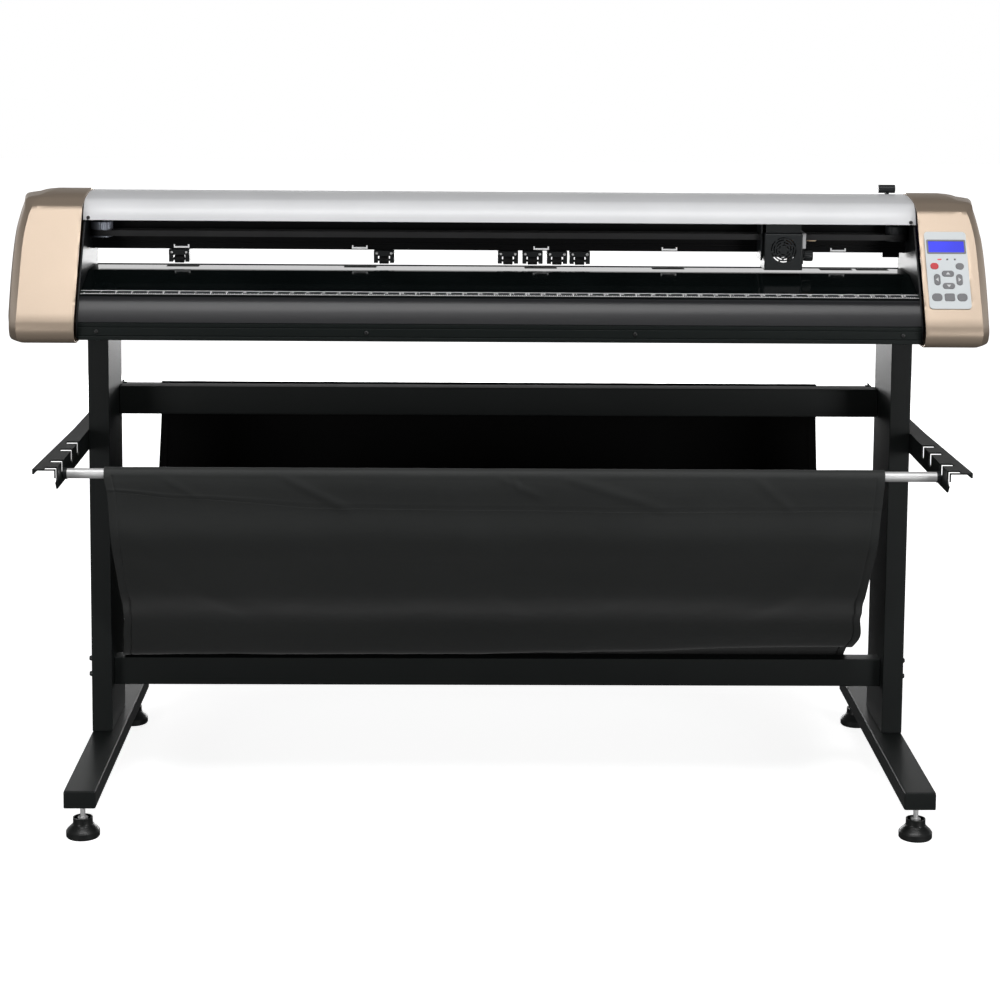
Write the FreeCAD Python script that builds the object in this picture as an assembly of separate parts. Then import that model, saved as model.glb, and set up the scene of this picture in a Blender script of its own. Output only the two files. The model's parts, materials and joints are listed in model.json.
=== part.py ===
import FreeCAD, Part
import math
import os

# Roll-fed vinyl cutter on a floor stand with a fabric catch basket.
# Millimetres, +Z up, +X to the operator's right, the operator stands at -Y.
# Shapes are drawn with y = 0 on the column centre plane, then moved by SHIFT_Y
# so that the origin is under the middle of the whole machine. The stand is drawn
# about x = 0 too, and the head sits STAND_X off its centre.

V = FreeCAD.Vector
SHIFT_Y = 25.0
STAND_X = 3.0

# stand
COLUMN_OUT = 684.0
COLUMN_W = 34.0
COLUMN_IN = COLUMN_OUT - COLUMN_W
COLUMN_HALF_D = 76.0
COLUMN_TOP = 760.0
BEAM_W = 50.0
BEAM_Z0 = 56.0
BEAM_Z1 = 84.0
BEAM_Y0 = -377.0
BEAM_Y1 = 273.0
TUBE_WALL = 2.5
FOOT_X = 659.0
FOOT_YS = (-345.0, 241.0)
FOOT_R = 26.5
STEM_R = 4.0
STEM_TOP = 80.0
LOWER_RAIL = (-50.0, -18.0, 158.0, 205.0)
UPPER_RAIL = (42.0, 76.0, 606.0, 654.0)

# catch basket
ARM_Y0 = -405.0
ARM_Y1 = 355.0
ARM_TOP = 601.0
ARM_H = 34.0
ARM_T = 2.5
ARM_REACH = 36.0
ARM_TAPER = 10.0
NOTCH_W = 18.0
NOTCH_YS = (-395.0, -340.0, -250.0, -190.0)
ROD_R = 8.0
PIN_R = 3.0
FRONT_ROD = (-340.0, 581.5)
REAR_ROD = (334.0, 604.1)
FABRIC_X = (-618.0, 598.0)
FABRIC_T = 1.4

# head
SIDE_X = 677.0
SIDE_T = 3.0
COVER_IN = 681.0
COVER_WALL = 3.0
FLARE = 0.187
FLARE_Y = -150.0
HEAD_REAR = 26.0
PANEL_SCREW_XS = (-647.5, -215.7, 215.7, 647.5)
COVER_SCREW_X = 672.0
FACE_Y = -218.0
FACE_Z = 802.0
FACE_SLOPE = 96.0 / 163.0
PLATEN_Z = 869.0
PLATEN_T = 3.5
BODY_TOP = PLATEN_Z - PLATEN_T

# grit rollers and pinch units
GRIT_C = (-20.5, 856.0)
GRIT_R = 14.0
GRIT_SHAFT_R = 5.0
GRIT_XS = (-529.0, -233.0, 69.0, 283.0, 565.0, 626.0)
GRIT_LEN = 50.0
LIFT_C = (4.0, 914.0)
LIFT_R = 4.0
PINCH_C = (-25.0, 881.6)
PINCH_R = 7.0
PINCH_XS = (-534.0, -193.0, 14.0, 55.0, 96.0, 134.0)
RUN_GAP = 0.05

# carriage and belt
CARR_X = 465.3
CARR_HALF = 31.3
PULLEY_X = 657.0
PULLEY_Y = -66.0
PULLEY_R = 16.0
DRUM_R = 18.3
BELT_Z0 = 925.0
BELT_Z1 = 934.5
BELT_T = 1.2
BLADE = (480.3, -70.0)
LEVER_C = (34.0, 930.0)
SWITCH_C = (26.0, 839.5)
BRASS_C = (-74.0, 926.5)
CLAMP_C = (-78.0, 898.5)

# control panel, in its own plane: x across, v up the slope
PANEL = (689.0, 757.0, 29.5, 165.5)
PANEL_T = 2.0
LCD = (693.8, 753.2, 128.3, 149.2)
KEYS = (
    ("key_red", 701.9, 104.2, 13.0, 10.8, 5.2),
    ("key_grey", 743.0, 104.2, 13.0, 10.8, 5.2),
    ("key_up", 722.8, 91.0, 19.4, 10.0, 4.8),
    ("key_left", 704.8, 80.4, 9.8, 19.1, 4.8),
    ("key_right", 740.8, 80.4, 9.8, 19.1, 4.8),
    ("key_down", 722.8, 69.4, 19.4, 10.0, 4.8),
    ("key_lower_left", 702.5, 49.5, 16.0, 12.8, 5.5),
    ("key_lower_middle", 722.8, 49.5, 16.0, 12.8, 2.5),
    ("key_lower_right", 743.1, 49.5, 16.0, 12.8, 5.5),
)

# end cover slices: height, front y, front edge x, side x at FLARE_Y, rear y
COVER_SLICES = (
    (764.0, -196.0, 764.0, 786.0, 20.0),
    (767.0, -208.0, 769.0, 792.0, 26.0),
    (775.0, -217.0, 772.0, 796.0, 29.0),
    (788.0, -221.0, 773.0, 797.0, 30.0),
    (802.0, None, 773.0, 796.0, 30.0),
    (850.0, None, 773.0, 792.0, 30.0),
    (900.0, None, 773.0, 786.3, 30.0),
    (928.0, None, 772.0, 781.8, 30.0),
    (945.0, None, 770.0, 777.3, 30.0),
    (965.0, None, 766.0, 771.0, 29.0),
    (976.0, -112.5, 762.0, 767.0, 27.0),
    (983.0, -102.0, 758.0, 764.0, 24.0),
    (988.0, -90.0, 750.0, 756.0, 20.0),
    (990.5, -82.0, 738.0, 742.0, 17.0),
    (994.0, -62.0, 730.0, 732.0, 12.0),
    (996.0, -35.0, 726.0, 727.0, 6.0),
    (997.5, -10.0, 722.0, 722.5, -1.0),
)


def box(x0, x1, y0, y1, z0, z1):
    corner = V(min(x0, x1), min(y0, y1), min(z0, z1))
    return Part.makeBox(abs(x1 - x0), abs(y1 - y0), abs(z1 - z0), corner)


def cyl(axis, a, b, r, lo, hi):
    """Cylinder along an axis; a and b are its centre in the other two axes."""
    spots = {"x": V(lo, a, b), "y": V(a, lo, b), "z": V(a, b, lo)}
    ways = {"x": V(1, 0, 0), "y": V(0, 1, 0), "z": V(0, 0, 1)}
    return Part.makeCylinder(r, hi - lo, spots[axis], ways[axis])


def fuse(shapes):
    whole = shapes[0]
    for part in shapes[1:]:
        whole = whole.fuse(part)
    return whole.removeSplitter()


def prism(points, x0, x1):
    """Closed outline of (y, z) points drawn out along X."""
    loop = [V(x0, y, z) for y, z in points]
    loop.append(loop[0])
    face = Part.Face(Part.makePolygon(loop))
    return face.extrude(V(x1 - x0, 0, 0))


def plan_prism(points, z0, z1):
    """Closed outline of (x, y) points drawn out along Z."""
    loop = [V(x, y, z0) for x, y in points]
    loop.append(loop[0])
    return Part.Face(Part.makePolygon(loop)).extrude(V(0, 0, z1 - z0))


def shifted(points, dist):
    """Open line of (y, z) points moved sideways, to the left of its direction."""
    moved = []
    last = len(points) - 1
    for i, (y, z) in enumerate(points):
        ya, za = points[max(i - 1, 0)]
        yb, zb = points[min(i + 1, last)]
        run = math.hypot(yb - ya, zb - za)
        moved.append((y - dist * (zb - za) / run, z + dist * (yb - ya) / run))
    return moved


def band(points, thick, x0, x1):
    """Sheet of even thickness that follows an open line of (y, z) points."""
    other = shifted(points, thick)
    other.reverse()
    return prism(list(points) + other, x0, x1)


def tube(x0, x1, y0, y1, z0, z1, axis):
    """Rectangular steel tube, open at both ends of its axis."""
    t = TUBE_WALL
    outer = box(x0, x1, y0, y1, z0, z1)
    lo = [min(x0, x1) + t, min(y0, y1) + t, z0 + t]
    hi = [max(x0, x1) - t, max(y0, y1) - t, z1 - t]
    k = "xyz".index(axis)
    lo[k] -= 3 * t
    hi[k] += 3 * t
    return outer.cut(box(lo[0], hi[0], lo[1], hi[1], lo[2], hi[2]))


def mirror_x(shape):
    return shape.mirror(V(0, 0, 0), V(1, 0, 0))


def save(node, shape, shift_x=0.0):
    moved = shape.copy()
    moved.translate(V(shift_x, SHIFT_Y, 0))
    moved.exportStep("parts/" + node + ".step")


# ---------------------------------------------------------------- stand

def column():
    return tube(COLUMN_IN, COLUMN_OUT, -COLUMN_HALF_D, COLUMN_HALF_D, BEAM_Z1, COLUMN_TOP, "z")


def foot_beam():
    """Floor beam with its two end caps; the feet screw up into it from below."""
    x0 = COLUMN_OUT - BEAM_W
    body = tube(x0, COLUMN_OUT, BEAM_Y0, BEAM_Y1, BEAM_Z0, BEAM_Z1, "y")
    for y in FOOT_YS:
        body = body.cut(cyl("z", FOOT_X, y, STEM_R + 0.1, BEAM_Z0 - 1, BEAM_Z0 + 5))
    plugs = []
    for y0, y1 in ((BEAM_Y0 - 3, BEAM_Y0), (BEAM_Y1, BEAM_Y1 + 3)):
        plugs.append(box(x0 + 0.5, COLUMN_OUT - 0.5, y0, y1, BEAM_Z0 + 0.5, BEAM_Z1 - 0.5))
    return Part.makeCompound([body] + plugs)


def levelling_foot(x, y):
    """Round pad, flared neck with a recessed rim and a threaded stem."""
    outline = [(0, 0), (FOOT_R - 1.5, 0), (FOOT_R, 2), (FOOT_R, 10), (24.5, 13), (17.0, 20)]
    outline += [(15.5, 23), (15.5, 31.5), (13.5, 31.5), (13.5, 26), (8.0, 26), (8.0, 31.5)]
    outline += [(STEM_R, 31.5), (STEM_R, STEM_TOP), (0, STEM_TOP)]
    loop = [V(r, 0, z) for r, z in outline]
    loop.append(loop[0])
    body = Part.Face(Part.makePolygon(loop)).revolve(V(0, 0, 0), V(0, 0, 1), 360)
    body.translate(V(x, y, 0))
    return body


def rail(spec):
    y0, y1, z0, z1 = spec
    return tube(-COLUMN_IN, COLUMN_IN, y0, y1, z0, z1, "x")


def head_brackets():
    """Pads on the column tops that carry the head."""
    pads = []
    for s in (-1, 1):
        plate = box(s * 644, s * 684, -112, COLUMN_HALF_D, COLUMN_TOP, COLUMN_TOP + 4)
        pad = box(s * 646, s * 672, -100, 24, COLUMN_TOP + 4, 770)
        pads.append(plate.fuse(pad).removeSplitter())
    return Part.makeCompound(pads)


# ---------------------------------------------------------------- catch basket

def basket_arm():
    """Folded steel arm: upright web, tapered top flange turned outward and a small outer lip."""
    x = COLUMN_OUT
    web = box(x, x + ARM_T, ARM_Y0, ARM_Y1, ARM_TOP - ARM_H, ARM_TOP)
    wide = x + ARM_REACH
    narrow = wide - ARM_TAPER
    edge = [(wide, ARM_Y0), (narrow, -COLUMN_HALF_D), (narrow - 4, ARM_Y1)]
    flange = plan_prism([(x, ARM_Y0)] + edge + [(x, ARM_Y1)], ARM_TOP - ARM_T, ARM_TOP)
    back = [(a - ARM_T, b) for a, b in reversed(edge)]
    lip = plan_prism(edge + back, ARM_TOP - 8, ARM_TOP)
    ear = box(x, x + ARM_T, 317, ARM_Y1 - 4, ARM_TOP - 1, ARM_TOP + 13)
    arm = fuse([web, flange, lip, ear])
    r = NOTCH_W / 2
    low = FRONT_ROD[1] - PIN_R - 0.1 + r
    for y in NOTCH_YS:
        arm = arm.cut(box(x - 1, x + 19, y - r, y + r, low, ARM_TOP + 1))
        arm = arm.cut(cyl("x", y, low, r, x - 1, x + 4))
    ry, rz = REAR_ROD
    arm = arm.cut(box(x - 1, x + 4, ry - 3.5, ry + 3.5, rz + 0.4, rz + 30))
    arm = arm.cut(cyl("x", ry, rz + 0.4, 3.5, x - 1, x + 4))
    tip = [(ARM_Y0 - 1, ARM_TOP - 12), (ARM_Y0 - 1, ARM_TOP - 40), (ARM_Y0 + 22, ARM_TOP - 40)]
    return arm.cut(prism(tip, x - 1, x + 5))


def basket_rods():
    """Two round tubes with end plugs whose pins drop into the arm notches."""
    solids = []
    for y, z in (FRONT_ROD, REAR_ROD):
        bar = cyl("x", y, z, ROD_R, -677, 677).cut(cyl("x", y, z, ROD_R - 1.2, -678, 678))
        solids.append(bar)
        for s in (-1, 1):
            a, b = sorted((s * 677, s * 683))
            collar = cyl("x", y, z, ROD_R + 1, a, b)
            a, b = sorted((s * 667, s * 677))
            spigot = cyl("x", y, z, ROD_R - 1.2, a, b)
            a, b = sorted((s * 683, s * 688))
            plug = [collar, spigot, cyl("x", y, z, PIN_R, a, b)]
            if y < 0:
                a, b = sorted((s * 688, s * 692))
                plug.append(cyl("x", y, z, PIN_R + 2.5, a, b))
            solids.append(fuse(plug))
    return Part.makeCompound(solids)


def basket_fabric():
    """Hanging cloth: a sleeve round each rod and one slack sheet between them."""
    fy, fz = FRONT_ROD
    ry, rz = REAR_ROD
    line = [(fy - 3, fz - 8.6), (-330, 520), (-315, 469), (-267, 412), (-216, 355), (-130, 296)]
    line += [(-66, 246), (-36, 216), (-14, 207), (20, 184), (60, 171), (100, 176), (150, 200)]
    line += [(205, 250), (262, 330), (300, 420), (322, 510), (ry - 3, rz - 8.6)]
    curve = Part.BSplineCurve()
    curve.interpolate([V(0, y, z) for y, z in line])
    steps = 60
    path = []
    for i in range(steps + 1):
        span = curve.LastParameter - curve.FirstParameter
        p = curve.value(curve.FirstParameter + span * i / steps)
        path.append((p.y, p.z))
    half = shifted(path, -FABRIC_T / 2)
    x0, x1 = FABRIC_X
    pieces = [band(half, FABRIC_T, x0, x1)]
    for y, z in (FRONT_ROD, REAR_ROD):
        sleeve = cyl("x", y, z, ROD_R + 0.5 + FABRIC_T, x0, x1)
        pieces.append(sleeve)
    cloth = fuse(pieces)
    for y, z in (FRONT_ROD, REAR_ROD):
        cloth = cloth.cut(cyl("x", y, z, ROD_R + 0.5, x0 - 1, x1 + 1))
    return cloth


# ---------------------------------------------------------------- head frame

BODY_OUTLINE = (
    (-180.0, 837.5), (-188.0, 829.0), (-196.0, 815.0), (-203.0, 798.0), (-203.0, 770.0),
    (HEAD_REAR, 770.0), (HEAD_REAR, BODY_TOP), (-87.0, BODY_TOP), (-170.0, 840.0),
)
BODY_HOLLOW = (
    (-178.0, 834.5), (-185.5, 827.0), (-193.2, 814.0), (-200.0, 797.4), (-200.0, 773.0),
    (HEAD_REAR - 3, 773.0), (HEAD_REAR - 3, BODY_TOP - 3), (-86.5, BODY_TOP - 3), (-169.5, 836.9),
)


def roller_slots(half_y):
    """Openings for the grit rollers, reaching half_y in front of and behind their axis."""
    y, z = GRIT_C
    half = GRIT_LEN / 2 + 2
    slots = [box(x - half, x + half, y - half_y, y + half_y, z - 10, z + 20) for x in GRIT_XS]
    return fuse(slots)


def base_beam():
    """Hollow cross body of the head with a curved front apron and grooved lower face."""
    body = prism(BODY_OUTLINE, -SIDE_X, SIDE_X)
    body = body.cut(prism(BODY_HOLLOW, -SIDE_X - 1, SIDE_X + 1))
    for z in (776.0, 790.0):
        body = body.cut(box(-SIDE_X - 1, SIDE_X + 1, -204, -202, z, z + 1.6))
    body = body.cut(box(-SIDE_X - 1, SIDE_X + 1, -204, -201.6, 797.2, 798.6))
    return body.cut(roller_slots(15.5))


def platen():
    """Gloss black table with slots for the grit rollers and a cutting groove."""
    points = [(5.0, BODY_TOP), (5.0, PLATEN_Z), (-87.0, PLATEN_Z), (-170.0, 843.5)]
    points += [(-180.0, 841.0), (-180.0, 837.5), (-170.0, 840.0), (-87.0, BODY_TOP)]
    body = prism(points, -SIDE_X, SIDE_X)
    groove = box(-660, 660, BLADE[1] - 2.5, BLADE[1] + 2.5, PLATEN_Z - 1.2, PLATEN_Z + 1)
    return body.cut(groove).cut(roller_slots(11.0))


def side_plates():
    """Steel end plates that hold the cross body, the rail and both shafts."""
    points = [(-200, 772), (-203, 800), (-172, 856), (-116, 940), (-112, 947), (-104, 966)]
    points += [(-88, 977), (-60, 985), (8, 988), (17, 975), (24, 930), (24, 868)]
    points += [(HEAD_REAR, 866), (HEAD_REAR, 772)]
    plate = prism(points, SIDE_X, SIDE_X + SIDE_T)
    plate = plate.cut(cyl("x", GRIT_C[0], GRIT_C[1], GRIT_SHAFT_R + RUN_GAP, SIDE_X - 7, SIDE_X + 10))
    plate = plate.cut(cyl("x", LIFT_C[0], LIFT_C[1], LIFT_R + RUN_GAP, SIDE_X - 7, SIDE_X + 10))
    return Part.makeCompound([plate, mirror_x(plate)])


def guide_rail():
    """Carriage rail: box beam, top web, rear skirt, belt brackets and lever pivot."""
    beam = box(-SIDE_X, SIDE_X, -40, -10, 900, 962)
    beam = beam.cut(box(-SIDE_X - 1, SIDE_X + 1, -37, -13, 903, 959))
    for z, h in ((911.0, 3.0), (932.0, 2.0)):
        beam = beam.cut(box(-SIDE_X - 1, SIDE_X + 1, -41, -38.5, z, z + h))
    web = box(-SIDE_X, SIDE_X, -11, 20, 959, 962)
    skirt = box(-SIDE_X, SIDE_X, 17, 20, 908, 962)
    shapes = [beam, web, skirt]
    for s in (-1, 1):
        shelf = box(s * (PULLEY_X - 20), s * (SIDE_X - 0.5), -88, -39, 952.5, 955.5)
        if s > 0:
            shelf = shelf.cut(cyl("z", PULLEY_X, PULLEY_Y, 4.0, 940, 960))
        shapes.append(shelf)
    shapes.append(cyl("z", -PULLEY_X, PULLEY_Y, 3.0, 919, 953))
    shapes.append(cyl("z", -PULLEY_X, PULLEY_Y, 5.0, 919, 921.5))
    shapes.append(box(640, 668, -38, -16, 892, 900))
    y, z = LEVER_C
    shapes.append(cyl("x", y, z, 4.0, 648, 664))
    shapes.append(cyl("x", y, z, 6.0, 646, 649))
    shapes.append(box(662, 668, 19, y + 8, z - 9, z + 9))
    return fuse(shapes)


def top_cover():
    """White curved sheet over the rail, open at the back for the lever."""
    line = [(17, 980), (17, 991), (12, 995), (0, 996.5), (-25, 995.5), (-50, 993.5)]
    line += [(-72, 990), (-88, 985), (-100, 978), (-108, 969.5), (-112, 961), (-113, 954)]
    return band(line, 2.2, -COVER_IN + 0.3, COVER_IN - 0.3)


# ---------------------------------------------------------------- end covers

def cover_slice(row, inset):
    """Plan outline at one height: flat front, short bevel, flared side, flat rear."""
    z, front, edge, side, rear = row
    if front is None:
        front = FACE_Y + (z - FACE_Z) * FACE_SLOPE
    y0 = front + inset * 1.16
    y1 = rear - inset
    depth = y1 - y0

    def flared(part):
        y = y0 + part * depth
        return (side + FLARE * (y - FLARE_Y) - inset, y)

    inner = COVER_IN - inset
    x_end, y_end = flared(0.75)
    points = [(inner, y0), (min(edge, flared(0.12)[0]) - 0.4 * inset, y0), flared(0.12), flared(0.4)]
    points += [(x_end, y_end), (x_end + 1.0, y0 + 0.9 * depth), (x_end - 7.0, y1), (inner, y1)]
    loop = [V(x, y, z) for x, y in points]
    loop.append(loop[0])
    return Part.makePolygon(loop)


def end_cover():
    """Hollow moulded cover, open towards the middle of the machine."""
    outer = Part.makeLoft([cover_slice(row, 0.0) for row in COVER_SLICES], True, True)
    rows = [(767.0,) + COVER_SLICES[0][1:]]
    rows += [row for row in COVER_SLICES if 770 < row[0] < 984]
    rows += [(985.5,) + COVER_SLICES[12][1:]]
    inner = Part.makeLoft([cover_slice(row, COVER_WALL) for row in rows], True, True)
    return outer.cut(inner)


def on_panel(shape):
    """Move a shape drawn flat (x across, y up, z out) onto the sloping front face."""
    angle = 90.0 - math.degrees(math.atan(FACE_SLOPE))
    turned = shape.copy()
    turned.Placement = FreeCAD.Placement(V(0, FACE_Y, FACE_Z), FreeCAD.Rotation(V(1, 0, 0), angle))
    return turned


def rounded_block(cx, cy, w, h, r, z0, z1):
    """Upright block with rounded corners."""
    block = box(cx - w / 2, cx + w / 2, cy - h / 2, cy + h / 2, z0, z1)
    upright = [e for e in block.Edges if abs(e.Vertexes[0].Z - e.Vertexes[-1].Z) > 0.1]
    return block.makeFillet(r, upright)


def right_cover():
    """Cover with the openings for the key panel, the switch and the power inlet."""
    cover = end_cover()
    x0, x1, v0, v1 = PANEL
    opening = box(x0 + 3.0, x1 - 3.0, v0 + 6, v1 - 6, -12, 4)
    cover = cover.cut(on_panel(opening))
    cover = cover.cut(box(730.4, 753.6, 20, 35, 830.4, 848.6))
    return cover.cut(box(700.5, 728.5, 20, 35, 827.5, 851.5))


def control_panel():
    """Pale rounded plate with holes for nine keys and the display."""
    x0, x1, v0, v1 = PANEL
    plate = rounded_block((x0 + x1) / 2, (v0 + v1) / 2, x1 - x0, v1 - v0, 6.0, 0.05, PANEL_T)
    for _, x, v, w, h, r in KEYS:
        hole = rounded_block(x, v, w + 0.5, h + 0.5, min(r + 0.2, h / 2, w / 2), -1, 3)
        plate = plate.cut(hole)
    a, b, c, d = LCD
    plate = plate.cut(box(a, b, c, d, -1, 3))
    return on_panel(plate)


def lcd_window():
    a, b, c, d = LCD
    pane = box(a + 0.1, b - 0.1, c + 0.1, d - 0.1, 0.2, PANEL_T - 0.4)
    return on_panel(pane)


def key(x, v, w, h, r):
    cap = rounded_block(x, v, w, h, r, -3.0, PANEL_T + 1.0)
    return on_panel(cap)


def power_switch():
    """Rocker cap on a pin along X, held in the switch housing."""
    y, z = SWITCH_C
    outline = [(y + 7, z + 6), (y + 4.5, z), (y + 7, z - 6), (y - 3, z - 5), (y - 3, z + 5)]
    rocker = prism(outline, 733.0, 751.0)
    rocker.rotate(V(0, y, z), V(1, 0, 0), -6.0)
    return rocker.fuse(cyl("x", y, z, 1.8, 731, 753)).removeSplitter()


def power_inlet():
    """Recessed three-pin inlet and switch housing in the back of the right cover."""
    shell = box(701, 728, 15, 31.5, 828, 851)
    shell = shell.cut(box(704, 725, 19, 33, 831, 848))
    pins = [box(708, 710, 18, 28, 837, 842), box(719, 721, 18, 28, 837, 842)]
    pins.append(box(713.5, 715.5, 18, 28, 841, 846))
    y, z = SWITCH_C
    housing = box(730.5, 753.5, 12, 30.8, z - 9, z + 9)
    housing = housing.cut(box(732, 752, 14, 33, z - 8, z + 8))
    housing = housing.cut(cyl("x", y, z, 1.8 + RUN_GAP, 730, 754))
    return Part.makeCompound([fuse([shell] + pins), housing])


def stepper_motors():
    """Feed motor at the grit shaft's right end and belt motor over its pulley."""
    feed = box(690, 748, GRIT_C[0] - 28, GRIT_C[0] + 28, GRIT_C[1] - 28, GRIT_C[1] + 28)
    flange = cyl("x", GRIT_C[0], GRIT_C[1], 19.0, 688.5, 691)
    foot = box(SIDE_X + SIDE_T, 690, -40, 0, 776, 884)
    foot = foot.cut(cyl("x", GRIT_C[0], GRIT_C[1], 20.0, SIDE_X, 692))
    belt = box(PULLEY_X - 18, PULLEY_X + 18, PULLEY_Y - 17, PULLEY_Y + 17, 955.5, 979)
    shaft = cyl("z", PULLEY_X, PULLEY_Y, 2.5, 923, 957)
    return Part.makeCompound([fuse([feed, flange, foot]), fuse([belt, shaft])])


# ---------------------------------------------------------------- moving parts

def grit_roller_shaft():
    y, z = GRIT_C
    shapes = [cyl("x", y, z, GRIT_SHAFT_R, -683, 687)]
    for x in GRIT_XS:
        shapes.append(cyl("x", y, z, GRIT_R, x - GRIT_LEN / 2, x + GRIT_LEN / 2))
    return fuse(shapes)


def lift_shaft():
    return cyl("x", LIFT_C[0], LIFT_C[1], LIFT_R, -685, 689)


def pinch_unit(x):
    """Forked arm that hangs from the lift shaft and carries one pinch wheel."""
    y, z = LIFT_C
    hub = cyl("x", y, z, 10.0, x - 17, x + 17)
    neck = box(x - 17, x + 17, -7.5, 14, 890, 914)
    bridge = box(x - 17, x + 17, -35, 14, 889, 898)
    cheeks = [box(x - 17, x - 10, -33, -8, 877, 890), box(x + 10, x + 17, -33, -8, 877, 890)]
    unit = fuse([hub, neck, bridge] + cheeks)
    unit = unit.cut(cyl("x", y, z, LIFT_R + RUN_GAP, x - 18, x + 18))
    return unit.cut(cyl("x", PINCH_C[0], PINCH_C[1], 2.0 + RUN_GAP, x - 18, x + 18))


def pinch_wheel(x):
    y, z = PINCH_C
    wheel = cyl("x", y, z, PINCH_R, x - 8, x + 8)
    axle = cyl("x", y, z, 2.0, x - 16.5, x + 16.5)
    return wheel.fuse(axle).removeSplitter()


def lift_lever():
    """Lever with a cylindrical grip; its hub turns on the pin behind the rail."""
    y, z = LEVER_C
    hub = cyl("x", y, z, 8.0, 650, 661)
    arm = prism([(28.5, 935), (39, 937), (27, 1003), (16.5, 1000)], 652, 658)
    grip = cyl("x", 20, 1002, 7.0, 640, 668)
    lever = fuse([hub, arm, grip])
    return lever.cut(cyl("x", y, z, 4.0 + RUN_GAP, 645, 665))


def pulley(x, bore):
    """Belt pulley with a lower flange and a tall silver drum above the belt."""
    low = cyl("z", x, PULLEY_Y, DRUM_R, BELT_Z0 - 2.3, BELT_Z0 - 0.5)
    rim = cyl("z", x, PULLEY_Y, PULLEY_R, BELT_Z0 - 1, BELT_Z1 + 1.5)
    drum = cyl("z", x, PULLEY_Y, DRUM_R, BELT_Z1 + 1, 948)
    wheel = fuse([low, rim, drum])
    return wheel.cut(cyl("z", x, PULLEY_Y, bore, 915, 960))


def carriage_belt():
    """Toothed belt loop round both pulleys."""
    def loop(r):
        ends = [cyl("z", s * PULLEY_X, PULLEY_Y, r, BELT_Z0, BELT_Z1) for s in (-1, 1)]
        run = box(-PULLEY_X, PULLEY_X, PULLEY_Y - r, PULLEY_Y + r, BELT_Z0, BELT_Z1)
        return fuse(ends + [run])
    return loop(PULLEY_R + 0.1 + BELT_T).cut(loop(PULLEY_R + 0.1))


def belt_windows(x0, x1):
    """Room for both runs of the belt, front and rear, to pass through a wall."""
    r = PULLEY_R + 0.1 + BELT_T
    low, high = BELT_Z0 - 2, BELT_Z1 + 2
    front = box(x0, x1, PULLEY_Y - r - 3, PULLEY_Y - r + 4.5, low, high)
    rear = box(x0, x1, PULLEY_Y + r - 3, PULLEY_Y + r + 2, low, high)
    return front.fuse(rear)


def carriage_body():
    """Shoe round the rail, belt clamp, tool collar and side plates."""
    x = CARR_X
    back = box(x - 34, x + 31, -44, -41, 892, 965.5)
    top = box(x - 34, x + 31, -44, -24, 962.5, 965.5)
    low = box(x - 34, x + 31, -42, -39, 911.5, 913.5)
    front = box(x - 29, x + 29, -98, -95, 938.2, 956.5)
    roof = box(x - 29, x + 29, -98, -42, 953, 956.5)
    left = box(x - 36.5, x - 33.5, -92, -41, 892, 957).cut(belt_windows(x - 45, x - 30))
    right = box(x + 31.5, x + 37.5, -96, -41, 912, 937).cut(belt_windows(x + 25, x + 45))
    clamp = box(x - 12, x + 12, -56, -43, 920, 935.8)
    strand = PULLEY_Y + PULLEY_R + 0.1
    clamp = clamp.cut(box(x - 13, x + 13, strand - 0.1, strand + BELT_T + 0.1, BELT_Z0 - 0.2, BELT_Z1 + 0.2))
    bx, by = BLADE
    collar = box(bx - 9, bx + 9, -82, -42, 897, 911)
    collar = collar.cut(cyl("z", bx, by, 5.0 + RUN_GAP, 890, 920))
    arm = box(x + 31.5, x + 34.5, -90, -41, 886, 912)
    tie = box(x + 30, x + 34.5, -44, -41, 884, 965.5)
    body = fuse([back, top, low, front, roof, clamp, left, right, collar, arm, tie])
    body = body.cut(cyl("x", BRASS_C[0], BRASS_C[1], 2.5 + RUN_GAP, x + 28, x + 40))
    return body.cut(cyl("x", CLAMP_C[0], CLAMP_C[1], 2.5 + RUN_GAP, x + 28, x + 40))


def carriage_cover():
    """Front box of the carriage with a round slotted vent."""
    x = CARR_X
    shell = box(x - CARR_HALF, x + CARR_HALF, -105, -47, 877.0, 937.5)
    edges = []
    for e in shell.Edges:
        a = e.Vertexes[0].Point
        b = e.Vertexes[-1].Point
        if a.y < -104 and b.y < -104:
            edges.append(e)
    shell = shell.makeFillet(3.0, edges)
    shell = shell.cut(box(x - CARR_HALF + 2, x + CARR_HALF - 2, -103, -40, 879.0, 936.0))
    for r in (8.0, 12.0, 16.0, 20.0):
        ring = cyl("y", x, 911, r + 0.9, -110, -100).cut(cyl("y", x, 911, r - 0.9, -111, -99))
        for k in range(3):
            turn = FreeCAD.Rotation(V(0, 1, 0), 60.0 * k + 4.0 * r)
            bar = box(-1.6, 1.6, -112, -98, -30, 30)
            bar.Placement = FreeCAD.Placement(V(x, 0, 911), turn)
            ring = ring.cut(bar)
        shell = shell.cut(ring)
    shell = shell.cut(belt_windows(x - 40, x + 40))
    shell = shell.cut(cyl("z", BLADE[0], BLADE[1], 6.0, 874, 882))
    return shell.cut(box(x + 28, x + 34, -86, -40, 890, 933))


def blade_holder():
    bx, by = BLADE
    barrel = cyl("z", bx, by, 5.0, 884, 926)
    head = cyl("z", bx, by, 7.0, 917, 930)
    nose = Part.makeCone(1.2, 4.6, 7.0, V(bx, by, 877))
    tip = Part.makeCone(0.2, 0.8, 2.5, V(bx, by, 875))
    return fuse([barrel, head, nose, tip])


def turned_knob(centre, r, x0, x1):
    """Round knob on a stem whose inner end sits in the carriage's side plate."""
    grip = cyl("x", centre[0], centre[1], r, x0, x1)
    stem = cyl("x", centre[0], centre[1], 2.5, CARR_X + 31.7, x0 + 1)
    return grip.fuse(stem).removeSplitter()


# ---------------------------------------------------------------- fasteners

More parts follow.
